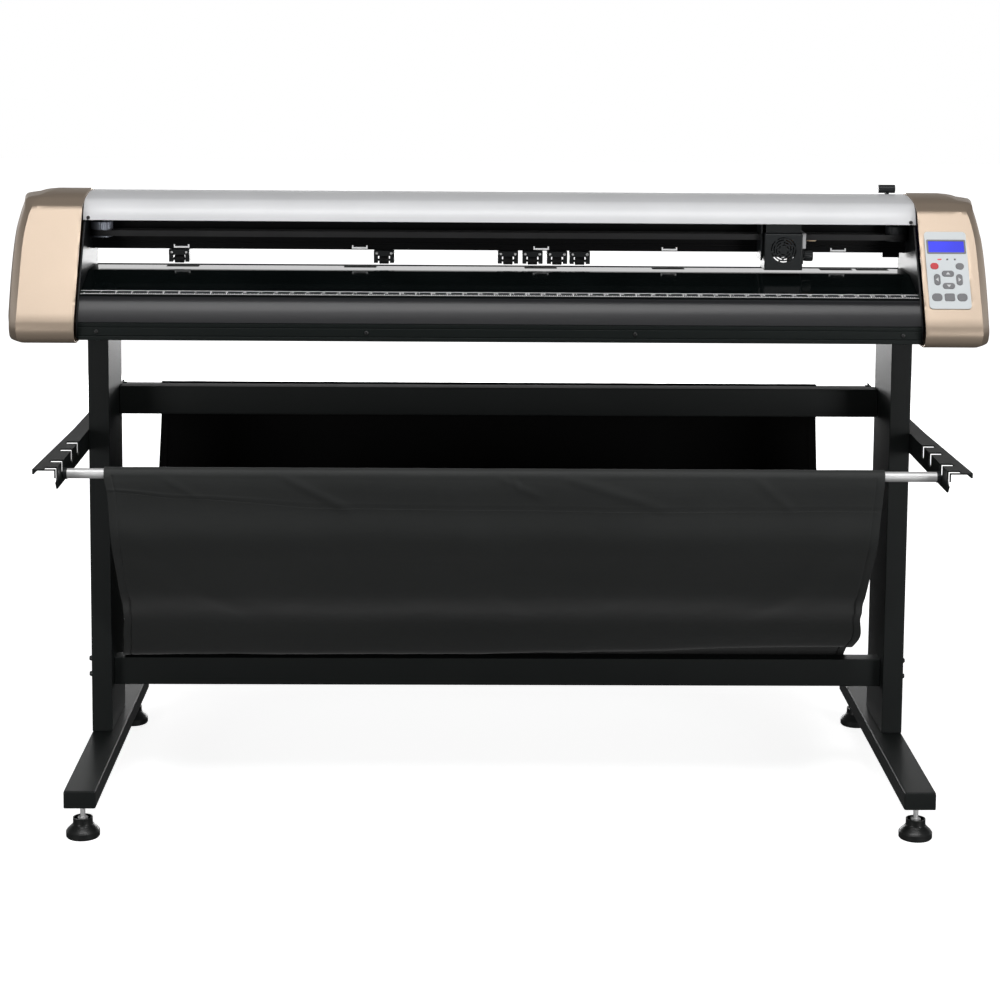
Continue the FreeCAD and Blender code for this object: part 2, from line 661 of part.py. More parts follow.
def fasteners():
    """Bolt and screw heads of the stand and the head."""
    stand = []
    for s in (-1, 1):
        for y, z in ((-34, 172), (-34, 199), (59, 618), (59, 642)):
            a, b = sorted((s * COLUMN_OUT, s * (COLUMN_OUT + 10)))
            stand.append(cyl("x", y, z, 5.0, a, b))
        for y in (-52, 52):
            a, b = sorted((s * (COLUMN_OUT + ARM_T), s * (COLUMN_OUT + ARM_T + 4)))
            stand.append(cyl("x", y, 578, 5.0, a, b))
        stand.append(cyl("z", s * 664, -96, 6.5, COLUMN_TOP - 6, COLUMN_TOP))
    group = Part.makeCompound(stand)
    group.translate(V(STAND_X, 0, 0))
    heads = [cyl("y", x, 784, 3.4, -205.5, -203) for x in PANEL_SCREW_XS]
    for x in (-COVER_SCREW_X, COVER_SCREW_X):
        heads.append(Part.makeCylinder(3.0, 1.6, V(x, -112.43, 958.0), V(0, -0.99, 0.141)))
    return Part.makeCompound([group] + heads)


def main():
    os.makedirs("parts", exist_ok=True)
    save("right_column", column(), STAND_X)
    save("left_column", mirror_x(column()), STAND_X)
    save("right_foot_beam", foot_beam(), STAND_X)
    save("left_foot_beam", mirror_x(foot_beam()), STAND_X)
    save("lower_rail", rail(LOWER_RAIL), STAND_X)
    save("upper_rail", rail(UPPER_RAIL), STAND_X)
    save("head_brackets", head_brackets(), STAND_X)
    for side, s in (("left", -1), ("right", 1)):
        for end, y in zip(("front", "rear"), FOOT_YS):
            save("foot_" + end + "_" + side, levelling_foot(s * FOOT_X, y), STAND_X)
    save("right_basket_arm", basket_arm(), STAND_X)
    save("left_basket_arm", mirror_x(basket_arm()), STAND_X)
    save("basket_rods", basket_rods(), STAND_X)
    save("basket_fabric", basket_fabric(), STAND_X)
    save("base_beam", base_beam())
    save("platen", platen())
    save("side_plates", side_plates())
    save("guide_rail", guide_rail())
    save("top_cover", top_cover())
    save("right_end_cover", right_cover())
    save("left_end_cover", mirror_x(end_cover()))
    save("control_panel", control_panel())
    save("lcd_window", lcd_window())
    for name, x, v, w, h, r in KEYS:
        save(name, key(x, v, w, h, r))
    save("power_switch", power_switch())
    save("power_inlet", power_inlet())
    save("stepper_motors", stepper_motors())
    save("grit_roller_shaft", grit_roller_shaft())
    save("lift_shaft", lift_shaft())
    for i, x in enumerate(PINCH_XS):
        save("pinch_unit_" + str(i + 1), pinch_unit(x))
        save("pinch_wheel_" + str(i + 1), pinch_wheel(x))
    save("lift_lever", lift_lever())
    save("belt_idler_pulley", pulley(-PULLEY_X, 3.0 + RUN_GAP))
    save("belt_drive_pulley", pulley(PULLEY_X, 2.5 + RUN_GAP))
    save("carriage_belt", carriage_belt())
    save("carriage_body", carriage_body())
    save("carriage_cover", carriage_cover())
    save("blade_holder", blade_holder())
    save("brass_knob", turned_knob(BRASS_C, 4.6, CARR_X + 41, CARR_X + 57.5))
    save("clamp_knob", turned_knob(CLAMP_C, 9.0, CARR_X + 36, CARR_X + 51.5))
    save("fasteners", fasteners())


main()
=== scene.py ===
import json
import math

import bpy
from mathutils import Matrix, Vector
from mathutils.noise import noise as noise3


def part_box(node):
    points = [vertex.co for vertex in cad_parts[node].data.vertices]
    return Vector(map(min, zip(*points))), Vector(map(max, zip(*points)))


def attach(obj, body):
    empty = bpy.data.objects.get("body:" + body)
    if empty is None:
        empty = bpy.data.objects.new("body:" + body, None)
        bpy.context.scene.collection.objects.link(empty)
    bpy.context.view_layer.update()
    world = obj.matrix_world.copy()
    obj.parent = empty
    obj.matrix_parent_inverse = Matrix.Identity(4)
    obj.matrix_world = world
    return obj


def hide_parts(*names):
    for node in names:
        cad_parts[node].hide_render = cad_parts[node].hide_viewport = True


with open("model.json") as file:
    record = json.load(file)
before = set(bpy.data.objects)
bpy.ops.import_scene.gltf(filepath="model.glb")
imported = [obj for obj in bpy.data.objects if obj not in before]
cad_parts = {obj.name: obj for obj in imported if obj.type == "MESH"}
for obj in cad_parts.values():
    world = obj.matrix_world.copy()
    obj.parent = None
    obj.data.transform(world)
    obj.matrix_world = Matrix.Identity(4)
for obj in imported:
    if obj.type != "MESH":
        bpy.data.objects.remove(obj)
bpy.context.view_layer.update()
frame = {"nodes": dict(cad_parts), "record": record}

NODES = frame["nodes"]
BODY_OF = {}
for body_name, members in frame["record"]["behaviour"]["bodies"].items():
    for member in members:
        BODY_OF[member] = body_name
ROOT = "stand_and_head"
MM = 0.001


# ------------------------------------------------------------------ materials

def new_material(name, color, rough, metallic=0.0, coat=0.0, specular=0.5, sheen=0.0):
    mat = bpy.data.materials.new(name)
    mat.use_nodes = True
    bsdf = mat.node_tree.nodes["Principled BSDF"]
    bsdf.inputs["Base Color"].default_value = (*color, 1.0)
    bsdf.inputs["Roughness"].default_value = rough
    bsdf.inputs["Metallic"].default_value = metallic
    bsdf.inputs["Coat Weight"].default_value = coat
    bsdf.inputs["Coat Roughness"].default_value = 0.12
    bsdf.inputs["Specular IOR Level"].default_value = specular
    bsdf.inputs["Sheen Weight"].default_value = sheen
    mat.diffuse_color = (*color, 1.0)
    return mat


def node(mat, kind, **values):
    made = mat.node_tree.nodes.new(kind)
    for key, value in values.items():
        if key in made.inputs:
            made.inputs[key].default_value = value
        else:
            setattr(made, key, value)
    return made


def link(mat, out, into):
    mat.node_tree.links.new(out, into)


def bsdf_of(mat):
    return mat.node_tree.nodes["Principled BSDF"]


def coords(mat, scale=(1.0, 1.0, 1.0)):
    place = node(mat, "ShaderNodeTexCoord")
    mapping = node(mat, "ShaderNodeMapping")
    mapping.inputs["Scale"].default_value = scale
    link(mat, place.outputs["Object"], mapping.inputs["Vector"])
    return mapping.outputs["Vector"]


def noise(mat, scale, detail=3.0, stretch=(1.0, 1.0, 1.0)):
    tex = node(mat, "ShaderNodeTexNoise")
    tex.inputs["Scale"].default_value = scale
    tex.inputs["Detail"].default_value = detail
    link(mat, coords(mat, stretch), tex.inputs["Vector"])
    return tex.outputs["Fac"]


def ramp(mat, value, low, high, color_low, color_high):
    made = node(mat, "ShaderNodeValToRGB")
    made.color_ramp.elements[0].position = low
    made.color_ramp.elements[0].color = (*color_low, 1.0)
    made.color_ramp.elements[1].position = high
    made.color_ramp.elements[1].color = (*color_high, 1.0)
    link(mat, value, made.inputs["Fac"])
    return made.outputs["Color"]


def bump(mat, height, distance, strength=1.0, normal=None):
    made = node(mat, "ShaderNodeBump")
    made.inputs["Strength"].default_value = strength
    made.inputs["Distance"].default_value = distance
    link(mat, height, made.inputs["Height"])
    if normal is not None:
        link(mat, normal, made.inputs["Normal"])
    return made.outputs["Normal"]


def mottled(name, dark, light, rough, rough_span, grain, depth, metallic=0.0, coat=0.0,
            specular=0.5, stretch=(1.0, 1.0, 1.0)):
    """Finish with slow colour drift, uneven gloss and a fine surface grain."""
    mat = new_material(name, light, rough, metallic, coat, specular)
    drift = noise(mat, 9.0, 4.0, stretch)
    link(mat, ramp(mat, drift, 0.35, 0.65, dark, light), bsdf_of(mat).inputs["Base Color"])
    fine = noise(mat, grain, 2.0, stretch)
    low = rough - rough_span
    high = rough + rough_span
    gloss = ramp(mat, fine, 0.3, 0.7, (low,) * 3, (high,) * 3)
    link(mat, gloss, bsdf_of(mat).inputs["Roughness"])
    link(mat, bump(mat, fine, depth), bsdf_of(mat).inputs["Normal"])
    return mat


def metallic_paint():
    """Champagne paint: tiny bright flakes under a thin clear coat."""
    mat = new_material("champagne paint", (0.54, 0.43, 0.33), 0.42, 0.62, 0.10)
    bsdf = bsdf_of(mat)
    bsdf.inputs["Coat Roughness"].default_value = 0.32
    flakes = node(mat, "ShaderNodeTexVoronoi")
    flakes.inputs["Scale"].default_value = 2600.0
    link(mat, coords(mat), flakes.inputs["Vector"])
    tint = ramp(mat, flakes.outputs["Distance"], 0.0, 0.9, (0.545, 0.435, 0.338), (0.495, 0.392, 0.302))
    drift = ramp(mat, noise(mat, 5.0, 3.0), 0.3, 0.7, (0.94,) * 3, (1.0,) * 3)
    shade = node(mat, "ShaderNodeMix", data_type="RGBA", blend_type="MULTIPLY")
    shade.inputs["Factor"].default_value = 1.0
    link(mat, tint, shade.inputs["A"])
    link(mat, drift, shade.inputs["B"])
    link(mat, shade.outputs["Result"], bsdf.inputs["Base Color"])
    peel = noise(mat, 300.0, 2.0)
    link(mat, bump(mat, flakes.outputs["Distance"], 0.00002, 0.4, bump(mat, peel, 0.00004, 0.5)),
         bsdf.inputs["Normal"])
    return mat


def woven_cloth(name, dark, light, specular, sheen):
    """Coated black polyester: fine cross weave, soft sheen and slight fading."""
    mat = new_material(name, light, 0.62, 0.0, 0.0, specular, sheen)
    bsdf = bsdf_of(mat)
    bsdf.inputs["Sheen Roughness"].default_value = 0.4
    fade = noise(mat, 3.0, 5.0, (0.6, 1.0, 1.6))
    link(mat, ramp(mat, fade, 0.3, 0.7, dark, light), bsdf.inputs["Base Color"])
    warp = node(mat, "ShaderNodeTexWave", bands_direction="X")
    weft = node(mat, "ShaderNodeTexWave", bands_direction="Z")
    for threads in (warp, weft):
        threads.inputs["Scale"].default_value = 420.0
        threads.inputs["Distortion"].default_value = 0.4
        link(mat, coords(mat), threads.inputs["Vector"])
    cross = node(mat, "ShaderNodeMath", operation="MAXIMUM")
    link(mat, warp.outputs["Fac"], cross.inputs[0])
    link(mat, weft.outputs["Fac"], cross.inputs[1])
    slub = noise(mat, 90.0, 4.0, (0.25, 1.0, 2.0))
    link(mat, bump(mat, cross.outputs[0], 0.00010, 0.5, bump(mat, slub, 0.0004, 0.35)),
         bsdf.inputs["Normal"])
    return mat


def brushed(name, dark, light, rough, stretch, metallic=1.0):
    """Bright metal with fine lines drawn out along one axis."""
    mat = mottled(name, dark, light, rough, 0.05, 260.0, 0.00001, metallic=metallic, stretch=stretch)
    lines = noise(mat, 900.0, 2.0, stretch)
    link(mat, bump(mat, lines, 0.00002, 0.6), bsdf_of(mat).inputs["Normal"])
    return mat


def display_film():
    """Blue liquid crystal window, a little brighter in the middle, with faint cell rows."""
    mat = new_material("display", (0.031, 0.040, 0.80), 0.50)
    bsdf = bsdf_of(mat)
    glow = ramp(mat, noise(mat, 14.0, 2.0), 0.3, 0.7, (0.024, 0.032, 0.70), (0.034, 0.044, 0.84))
    cells = node(mat, "ShaderNodeTexChecker")
    cells.inputs["Scale"].default_value = 420.0
    cells.inputs["Color1"].default_value = (1.0, 1.0, 1.0, 1.0)
    cells.inputs["Color2"].default_value = (0.93, 0.93, 0.97, 1.0)
    link(mat, coords(mat), cells.inputs["Vector"])
    mix = node(mat, "ShaderNodeMix", data_type="RGBA", blend_type="MULTIPLY")
    mix.inputs["Factor"].default_value = 1.0
    link(mat, glow, mix.inputs["A"])
    link(mat, cells.outputs["Color"], mix.inputs["B"])
    link(mat, mix.outputs["Result"], bsdf.inputs["Base Color"])
    link(mat, mix.outputs["Result"], bsdf.inputs["Emission Color"])
    bsdf.inputs["Emission Strength"].default_value = 0.25
    return mat


MATS = {
    "black_powder_coat": mottled("powder coat", (0.0085, 0.0104, 0.0102), (0.0098, 0.0118, 0.0115),
                                 0.46, 0.04, 1500.0, 0.00004, specular=0.27),
    "black_body_paint": mottled("body paint", (0.008, 0.009, 0.010), (0.013, 0.014, 0.015),
                                0.42, 0.05, 2200.0, 0.00002, specular=0.25),
    "black_aluminium": mottled("satin anodising", (0.011, 0.0113, 0.0130), (0.0135, 0.0138, 0.0160),
                               0.33, 0.01, 900.0, 0.000004, specular=0.42, stretch=(0.03, 1.0, 1.0)),
    "gloss_black": mottled("gloss black", (0.0025, 0.004, 0.004), (0.004, 0.006, 0.006),
                           0.07, 0.02, 500.0, 0.00001, coat=0.3, specular=0.5),
    "white_cover_paint": mottled("white enamel", (0.77, 0.775, 0.79), (0.81, 0.815, 0.83),
                                 0.38, 0.03, 700.0, 0.00001, coat=0.10),
    "gold_paint": metallic_paint(),
    "rod_steel": brushed("bright rod", (0.84, 0.84, 0.84), (0.92, 0.92, 0.92), 0.50, (0.03, 1.0, 1.0),
                         0.6),
    "shaft_steel": brushed("ground steel", (0.42, 0.43, 0.44), (0.52, 0.53, 0.54), 0.32, (0.05, 1.0, 1.0)),
    "basket_cloth": woven_cloth("woven cloth", (0.025, 0.0268, 0.0262), (0.033, 0.035, 0.0342), 0.35,
                                0.15),
    "panel_grey": mottled("panel film", (0.66, 0.70, 0.72), (0.70, 0.735, 0.75),
                          0.42, 0.04, 1800.0, 0.00002),
    "display_blue": display_film(),
    "key_grey": mottled("grey key", (0.17, 0.17, 0.18), (0.21, 0.21, 0.22),
                        0.46, 0.04, 1500.0, 0.00003),
    "key_red": mottled("red key", (0.56, 0.010, 0.018), (0.66, 0.016, 0.026),
                       0.40, 0.04, 1500.0, 0.00003),
    "black_plastic": mottled("black plastic", (0.010, 0.012, 0.013), (0.017, 0.019, 0.021),
                             0.42, 0.05, 1300.0, 0.00005, specular=0.35),
    "foot_plastic": mottled("foot plastic", (0.008, 0.009, 0.009), (0.015, 0.016, 0.016),
                            0.36, 0.07, 900.0, 0.00004),
    "roller_rubber": mottled("roller rubber", (0.010, 0.010, 0.011), (0.018, 0.018, 0.019),
                             0.70, 0.08, 1300.0, 0.00005),
    "pulley_metal": brushed("turned aluminium", (0.50, 0.51, 0.53), (0.64, 0.65, 0.67), 0.30,
                            (1.0, 1.0, 0.2)),
    "belt_rubber": mottled("belt rubber", (0.012, 0.012, 0.013), (0.020, 0.020, 0.021),
                           0.60, 0.06, 1300.0, 0.00004),
    "brass": brushed("turned brass", (0.78, 0.58, 0.40), (0.86, 0.67, 0.48), 0.45, (0.2, 1.0, 1.0), 0.5),
    "motor_black": mottled("motor paint", (0.012, 0.012, 0.013), (0.022, 0.022, 0.024),
                           0.45, 0.05, 1200.0, 0.00003),
    "screw_black": mottled("black oxide", (0.045, 0.045, 0.045), (0.075, 0.075, 0.077),
                           0.30, 0.06, 1000.0, 0.00003, metallic=0.6),
}
WHITE_INK = mottled("white ink", (0.62, 0.62, 0.63), (0.72, 0.72, 0.73), 0.5, 0.05, 900.0, 0.00001)
DARK_PANEL = mottled("ribbed lower panel", (0.006, 0.0085, 0.008), (0.009, 0.012, 0.0115),
                     0.45, 0.05, 900.0, 0.00002, specular=0.18, stretch=(0.03, 1.0, 1.0))
PALE_PLASTIC = mottled("pale plastic", (0.60, 0.60, 0.61), (0.68, 0.68, 0.69), 0.45, 0.05,
                       1200.0, 0.00003)
# Near-black copy of the woven cloth with almost no specular: painted shade for the inside of the basket.
CLOTH_PAINTED_SHADE = woven_cloth("cloth painted shade", (0.002, 0.002, 0.002), (0.003, 0.003, 0.003), 0.05, 0.0)
RAIL_BLACK = mottled("rail anodising", (0.0035, 0.0036, 0.004), (0.0045, 0.0046, 0.005), 0.36, 0.04,
                     900.0, 0.00002, specular=0.12, stretch=(0.03, 1.0, 1.0))
GRIT_COAT = mottled("grit coating", (0.020, 0.020, 0.021), (0.045, 0.045, 0.046), 0.60, 0.08,
                    2400.0, 0.00008)
DRUM_METAL = brushed("drum aluminium", (0.36, 0.39, 0.45), (0.46, 0.49, 0.56), 0.50, (1.0, 1.0, 0.2))
# White print for the ruler and roller marks; the small emission is painted light that makes the print
# brighter than the lamps light it.
GLOWING_MARK_WHITE = mottled("mark ink with painted glow", (0.86, 0.86, 0.87), (0.92, 0.92, 0.93), 0.5, 0.05, 900.0, 0.00001)
bsdf_of(GLOWING_MARK_WHITE).inputs["Emission Color"].default_value = (1.0, 1.0, 1.0, 1.0)
bsdf_of(GLOWING_MARK_WHITE).inputs["Emission Strength"].default_value = 0.22
INDICATOR_RED = mottled("red lens", (0.70, 0.02, 0.03), (0.80, 0.03, 0.04), 0.2, 0.04, 900.0, 0.00001)
INDICATOR_DARK = mottled("dark lens", (0.006, 0.006, 0.007), (0.010, 0.010, 0.012), 0.18, 0.04,
                         900.0, 0.00001)


# ------------------------------------------------------------------ mesh helpers

def mm(*values):
    return tuple(v * MM for v in values)


def add_piece(name, verts, faces, material, body, slot, smooth=False):
    """New mesh piece, given in metres in the shared frame, that moves with a CAD body."""
    mesh = bpy.data.meshes.new(name)
    mesh.from_pydata([tuple(v) for v in verts], [], faces)
    mesh.validate()
    mesh.update()
    for item in (material if isinstance(material, list) else [material]):
        mesh.materials.append(item)
    if smooth:
        mesh.polygons.foreach_set("use_smooth", [True] * len(mesh.polygons))
    piece = bpy.data.objects.new(name, mesh)
    bpy.context.scene.collection.objects.link(piece)
    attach(piece, body)
    return piece


def shade(obj, angle):
    """Smooth shading that stays crisp where faces meet more steeply than an angle."""
    obj.data.polygons.foreach_set("use_smooth", [True] * len(obj.data.polygons))
    obj.data.set_sharp_from_angle(angle=math.radians(angle))


def shade_cad(obj, angle):
    """Like shade, but also across the borders where a CAD mesh has doubled vertices."""
    mesh = obj.data
    limit = math.cos(math.radians(angle))
    spots = [tuple(round(c, 6) for c in v.co) for v in mesh.vertices]
    sides = {}
    for polygon in mesh.polygons:
        for a, b in polygon.edge_keys:
            sides.setdefault(tuple(sorted((spots[a], spots[b]))), []).append(polygon.normal.copy())
    sharp = []
    for edge in mesh.edges:
        a, b = edge.vertices
        normals = sides[tuple(sorted((spots[a], spots[b])))]
        sharp.append(len(normals) != 2 or normals[0].dot(normals[1]) < limit)
    mesh.edges.foreach_set("use_edge_sharp", sharp)
    mesh.polygons.foreach_set("use_smooth", [True] * len(mesh.polygons))
    joined = obj.modifiers.new("joined faces", "WELD")
    joined.merge_threshold = 0.01 * MM


def bevel(obj, width, segments=2, angle=40.0):
    made = obj.modifiers.new("rounded edges", "BEVEL")
    made.width = width * MM
    made.segments = segments
    made.limit_method = "ANGLE"
    made.angle_limit = math.radians(angle)
    made.use_clamp_overlap = True
    made.harden_normals = False


def thicken(obj, depth, offset=-1.0):
    made = obj.modifiers.new("wall", "SOLIDIFY")
    made.thickness = depth * MM
    made.offset = offset
    made.use_even_offset = True
    return made


def grid_faces(rows, columns, wrap=False):
    faces = []
    for i in range(rows - 1):
        for j in range(columns - 1 + int(wrap)):
            k = (j + 1) % columns
            faces.append((i * columns + j, i * columns + k, (i + 1) * columns + k, (i + 1) * columns + j))
    return faces


def tube_faces(rings, sides):
    """Faces of a tube of vertex rings, with a flat cap at each end."""
    faces = grid_faces(rings, sides, True)
    faces.append(tuple(reversed(range(sides))))
    faces.append(tuple(range((rings - 1) * sides, rings * sides)))
    return faces


def box_mesh(corners):
    """Vertices and faces of one or more boxes, each given as two opposite corners."""
    verts = []
    faces = []
    for lo, hi in corners:
        base = len(verts)
        for x in (lo[0], hi[0]):
            for y in (lo[1], hi[1]):
                for z in (lo[2], hi[2]):
                    verts.append((x, y, z))
        for face in ((0, 1, 3, 2), (4, 6, 7, 5), (0, 4, 5, 1), (2, 3, 7, 6), (0, 2, 6, 4), (1, 5, 7, 3)):
            faces.append(tuple(base + k for k in face))
    return verts, faces


def turned(profile, centre, axis, segments=48, ribs=0, rib_depth=0.0, rib_span=(0.0, 0.0)):
    """Solid of revolution: profile is (radius, distance along the axis), both in mm."""
    along = Vector(axis).normalized()
    side = along.orthogonal().normalized()
    other = along.cross(side)
    verts = []
    for r, d in profile:
        for k in range(segments):
            a = 2 * math.pi * k / segments
            radius = r
            if ribs and rib_span[0] <= d <= rib_span[1] and math.cos(a * ribs) < 0:
                radius = r - rib_depth
            out = side * math.cos(a) + other * math.sin(a)
            verts.append(Vector(centre) + (along * d + out * radius) * MM)
    return verts, tube_faces(len(profile), segments)


def merged(parts):
    """Join (vertices, faces) lists into one."""
    verts = []
    faces = []
    for more, polygons in parts:
        base = len(verts)
        verts += list(more)
        faces += [tuple(base + k for k in face) for face in polygons]
    return verts, faces


def spline(points, steps):
    """Smooth curve through points, with the given number of steps between neighbours."""
    line = []
    last = len(points) - 1
    for i in range(last):
        p0, p1, p2, p3 = (Vector(points[min(max(i + k, 0), last)]) for k in (-1, 0, 1, 2))
        for s in range(steps):
            t = s / steps
            line.append(0.5 * ((2 * p1) + (p2 - p0) * t + (2 * p0 - 5 * p1 + 4 * p2 - p3) * t * t
                               + (3 * p1 - p0 - 3 * p2 + p3) * t ** 3))
    line.append(Vector(points[last]))
    return line


def smoothstep(low, high, value):
    t = min(max((value - low) / (high - low), 0.0), 1.0)
    return t * t * (3 - 2 * t)


# ------------------------------------------------------------------ CAD nodes

def dress_cad_nodes():
    """Every CAD node gets the finish its record slot names."""
    for part in frame["record"]["subparts"]:
        obj = NODES[part["node"]]
        obj.data.materials.clear()
        obj.data.materials.append(MATS[part["material_slot"]])


def crisp_cad_nodes():
    """Rounded edges and clean shading on the metal and plastic parts."""
    rounding = {
        "left_column": 1.6, "right_column": 1.6, "left_foot_beam": 1.6, "right_foot_beam": 1.6,
        "lower_rail": 1.6, "upper_rail": 1.6, "head_brackets": 0.6, "left_basket_arm": 0.5,
        "right_basket_arm": 0.5, "base_beam": 0.5, "platen": 0.35, "side_plates": 0.3,
        "guide_rail": 0.5, "control_panel": 0.35, "carriage_body": 0.4, "power_inlet": 0.4,
        "stepper_motors": 0.8, "power_switch": 0.5, "lift_lever": 0.6,
    }
    for name, obj in NODES.items():
        shade_cad(obj, 32)
        if name.startswith(("key_", "pinch_unit")):
            bevel(obj, 0.5, 2)
        elif name in rounding:
            bevel(obj, rounding[name], 2)
        even = obj.modifiers.new("even normals", "WEIGHTED_NORMAL")
        even.keep_sharp = name not in rounding


def recolor(name, material, test):
    """Give another finish to the polygons of a CAD node whose centre passes a test."""
    mesh = NODES[name].data
    mesh.materials.append(material)
    index = len(mesh.materials) - 1
    for polygon in mesh.polygons:
        if test(polygon.center):
            polygon.material_index = index


def two_tone_parts():
    low_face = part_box("base_beam")[0].z + 28.5 * MM
    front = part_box("base_beam")[0].y
    recolor("base_beam", DARK_PANEL, lambda c: c.z < low_face and c.y < front + 2.5 * MM)
    rod_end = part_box("basket_rods")[1].x - 15.2 * MM
    middle = 0.5 * (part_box("basket_rods")[0].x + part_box("basket_rods")[1].x)
    recolor("basket_rods", MATS["black_plastic"],
            lambda c: abs(c.x - middle) > rod_end - middle)
    block_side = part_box("carriage_cover")[1].x - 0.2 * MM
    block_low, block_high = 0.912, 0.9375
    recolor("carriage_body", PALE_PLASTIC, lambda c: c.x > block_side
            and block_low < c.z + 0.0005 and c.z < block_high)
    for name in NODES:
        if name.startswith("foot_") and not name.endswith("beam"):
            low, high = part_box(name)
            axis_x, axis_y = 0.5 * (low.x + high.x), 0.5 * (low.y + high.y)
            recolor(name, MATS["rod_steel"], lambda c: c.z > low.z + 25.5 * MM
                    and math.hypot(c.x - axis_x, c.y - axis_y) < 8.6 * MM)
    recolor("guide_rail", RAIL_BLACK, lambda c: True)
    low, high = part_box("grit_roller_shaft")
    roll_y, roll_z = 0.5 * (low.y + high.y), 0.5 * (low.z + high.z)
    recolor("grit_roller_shaft", GRIT_COAT,
            lambda c: math.hypot(c.y - roll_y, c.z - roll_z) > 10.0 * MM)


# ------------------------------------------------------------------ moulded covers

# Heights and plan sizes in mm, with y measured from the column centre plane:
# height, front y (None on the sloping face), front edge x, side x at FLARE_Y, rear y
COVER_ROWS = (
    (764.0, -196.0, 764.0, 785.0, 20.0),
    (765.5, -203.5, 767.0, 789.0, 24.0),
    (769.0, -211.5, 770.0, 793.5, 27.0),
    (775.0, -217.0, 772.0, 796.0, 29.0),
    (788.0, -221.0, 773.0, 797.0, 30.0),
    (802.0, None, 773.0, 796.0, 30.0),
    (850.0, None, 773.0, 792.0, 30.0),
    (900.0, None, 773.0, 786.3, 30.0),
    (928.0, None, 772.0, 781.8, 30.0),
    (945.0, None, 770.0, 777.3, 30.0),
    (965.0, None, 766.0, 771.0, 29.0),
    (976.0, None, 762.0, 767.0, 27.0),
    (984.0, -99.5, 759.5, 765.5, 23.5),
    (988.0, -90.0, 755.0, 761.0, 20.0),
    (989.5, -85.0, 748.0, 753.0, 18.0),
    (991.0, -79.0, 738.0, 742.0, 17.0),
    (994.0, -62.0, 730.0, 732.0, 12.0),
    (996.0, -38.0, 722.0, 721.0, 6.0),
    (997.2, -14.0, 712.0, 709.0, 0.0),
)
COVER_BOTTOM, COVER_TOP = COVER_ROWS[0][0], COVER_ROWS[-1][0]
SKIRT_TOP = 775.0
SHOULDER = 928.0
COVER_INNER_X = 681.0
FRONT_EDGE_X = 773.5
FACE_FOOT = (-218.0, 802.0)
FACE_TOP = 976.0
FACE_SLOPE = 96.0 / 163.0
FLARE = 0.187
FLARE_Y = -150.0
ROW_SHIFT = 25.0
PANEL_HOLE = (692.0, 754.0, 832.6, 939.4)
REAR_HOLES = ((700.5, 728.5, 827.5, 851.5), (730.4, 753.6, 830.4, 848.6))


def monotone(keys, values, at):
    """Smooth interpolation through a table without overshoot."""
    last = len(keys) - 1
    i = 0
    while i < last - 1 and at > keys[i + 1]:
        i += 1
    steps = [keys[k + 1] - keys[k] for k in range(last)]
    slopes = [(values[k + 1] - values[k]) / steps[k] for k in range(last)]

    def tangent(k):
        if k == 0:
            return slopes[0]
        if k == last:
            return slopes[-1]
        a, b = slopes[k - 1], slopes[k]
        if a * b <= 0:
            return 0.0
        wa = 2 * steps[k] + steps[k - 1]
        wb = steps[k] + 2 * steps[k - 1]
        return (wa + wb) / (wa / a + wb / b)

    h = steps[i]
    t = (at - keys[i]) / h
    return ((1 + 2 * t) * (1 - t) ** 2 * values[i] + t * (1 - t) ** 2 * h * tangent(i)
            + t * t * (3 - 2 * t) * values[i + 1] + t * t * (t - 1) * h * tangent(i + 1))


def face_y(z):
    return FACE_FOOT[0] + (z - FACE_FOOT[1]) * FACE_SLOPE


def cover_plan(z):
    """Outline at one height from the inner front corner round to the inner rear corner."""
    keys = [row[0] for row in COVER_ROWS]
    fronts = [face_y(row[0]) if row[1] is None else row[1] for row in COVER_ROWS]
    on_face = FACE_FOOT[1] <= z <= FACE_TOP
    front = face_y(z) if on_face else monotone(keys, fronts, z)
    edge, side, rear = (monotone(keys, [row[k] for row in COVER_ROWS], z) for k in (2, 3, 4))
    depth = rear - front

    def flared(part):
        y = front + part * depth
        return Vector((side + FLARE * (y - FLARE_Y), y, z))

    edge = min(edge, flared(0.12).x - 0.8)
    points = []
    for x in (COVER_INNER_X, 686.0, PANEL_HOLE[0], 707.0, 722.0, 738.0, PANEL_HOLE[1], 764.0, FRONT_EDGE_X):
        share = (x - COVER_INNER_X) / (FRONT_EDGE_X - COVER_INNER_X)
        straight = COVER_INNER_X + share * (edge - COVER_INNER_X)
        keep_x = on_face and x <= PANEL_HOLE[1]
        points.append(Vector((min(x, edge) if keep_x else straight, front, z)))
    points[-1].x = edge
    start = points[-1]
    for i in range(1, 5):
        t = i / 4
        bulge = Vector((0.9 * math.sin(math.pi * t), 0, 0))
        points.append(start.lerp(flared(0.12), t) + bulge)
    path = [flared(0.12), flared(0.4), flared(0.75), flared(0.75) + Vector((1.0, 0.15 * depth, 0)),
            Vector((flared(0.75).x - 7.0, rear, z))]
    points += spline(path, 5)[1:]
    corner = points[-1].x
    low_z, high_z = REAR_HOLES[0][2] - 1, REAR_HOLES[0][3] + 1
    for x in (REAR_HOLES[1][1], REAR_HOLES[1][0], REAR_HOLES[0][1], REAR_HOLES[0][0], COVER_INNER_X):
        share = (808.0 - x) / (808.0 - COVER_INNER_X)
        straight = corner + share * (COVER_INNER_X - corner)
        points.append(Vector((x if low_z <= z <= high_z else straight, rear, z)))
    return points


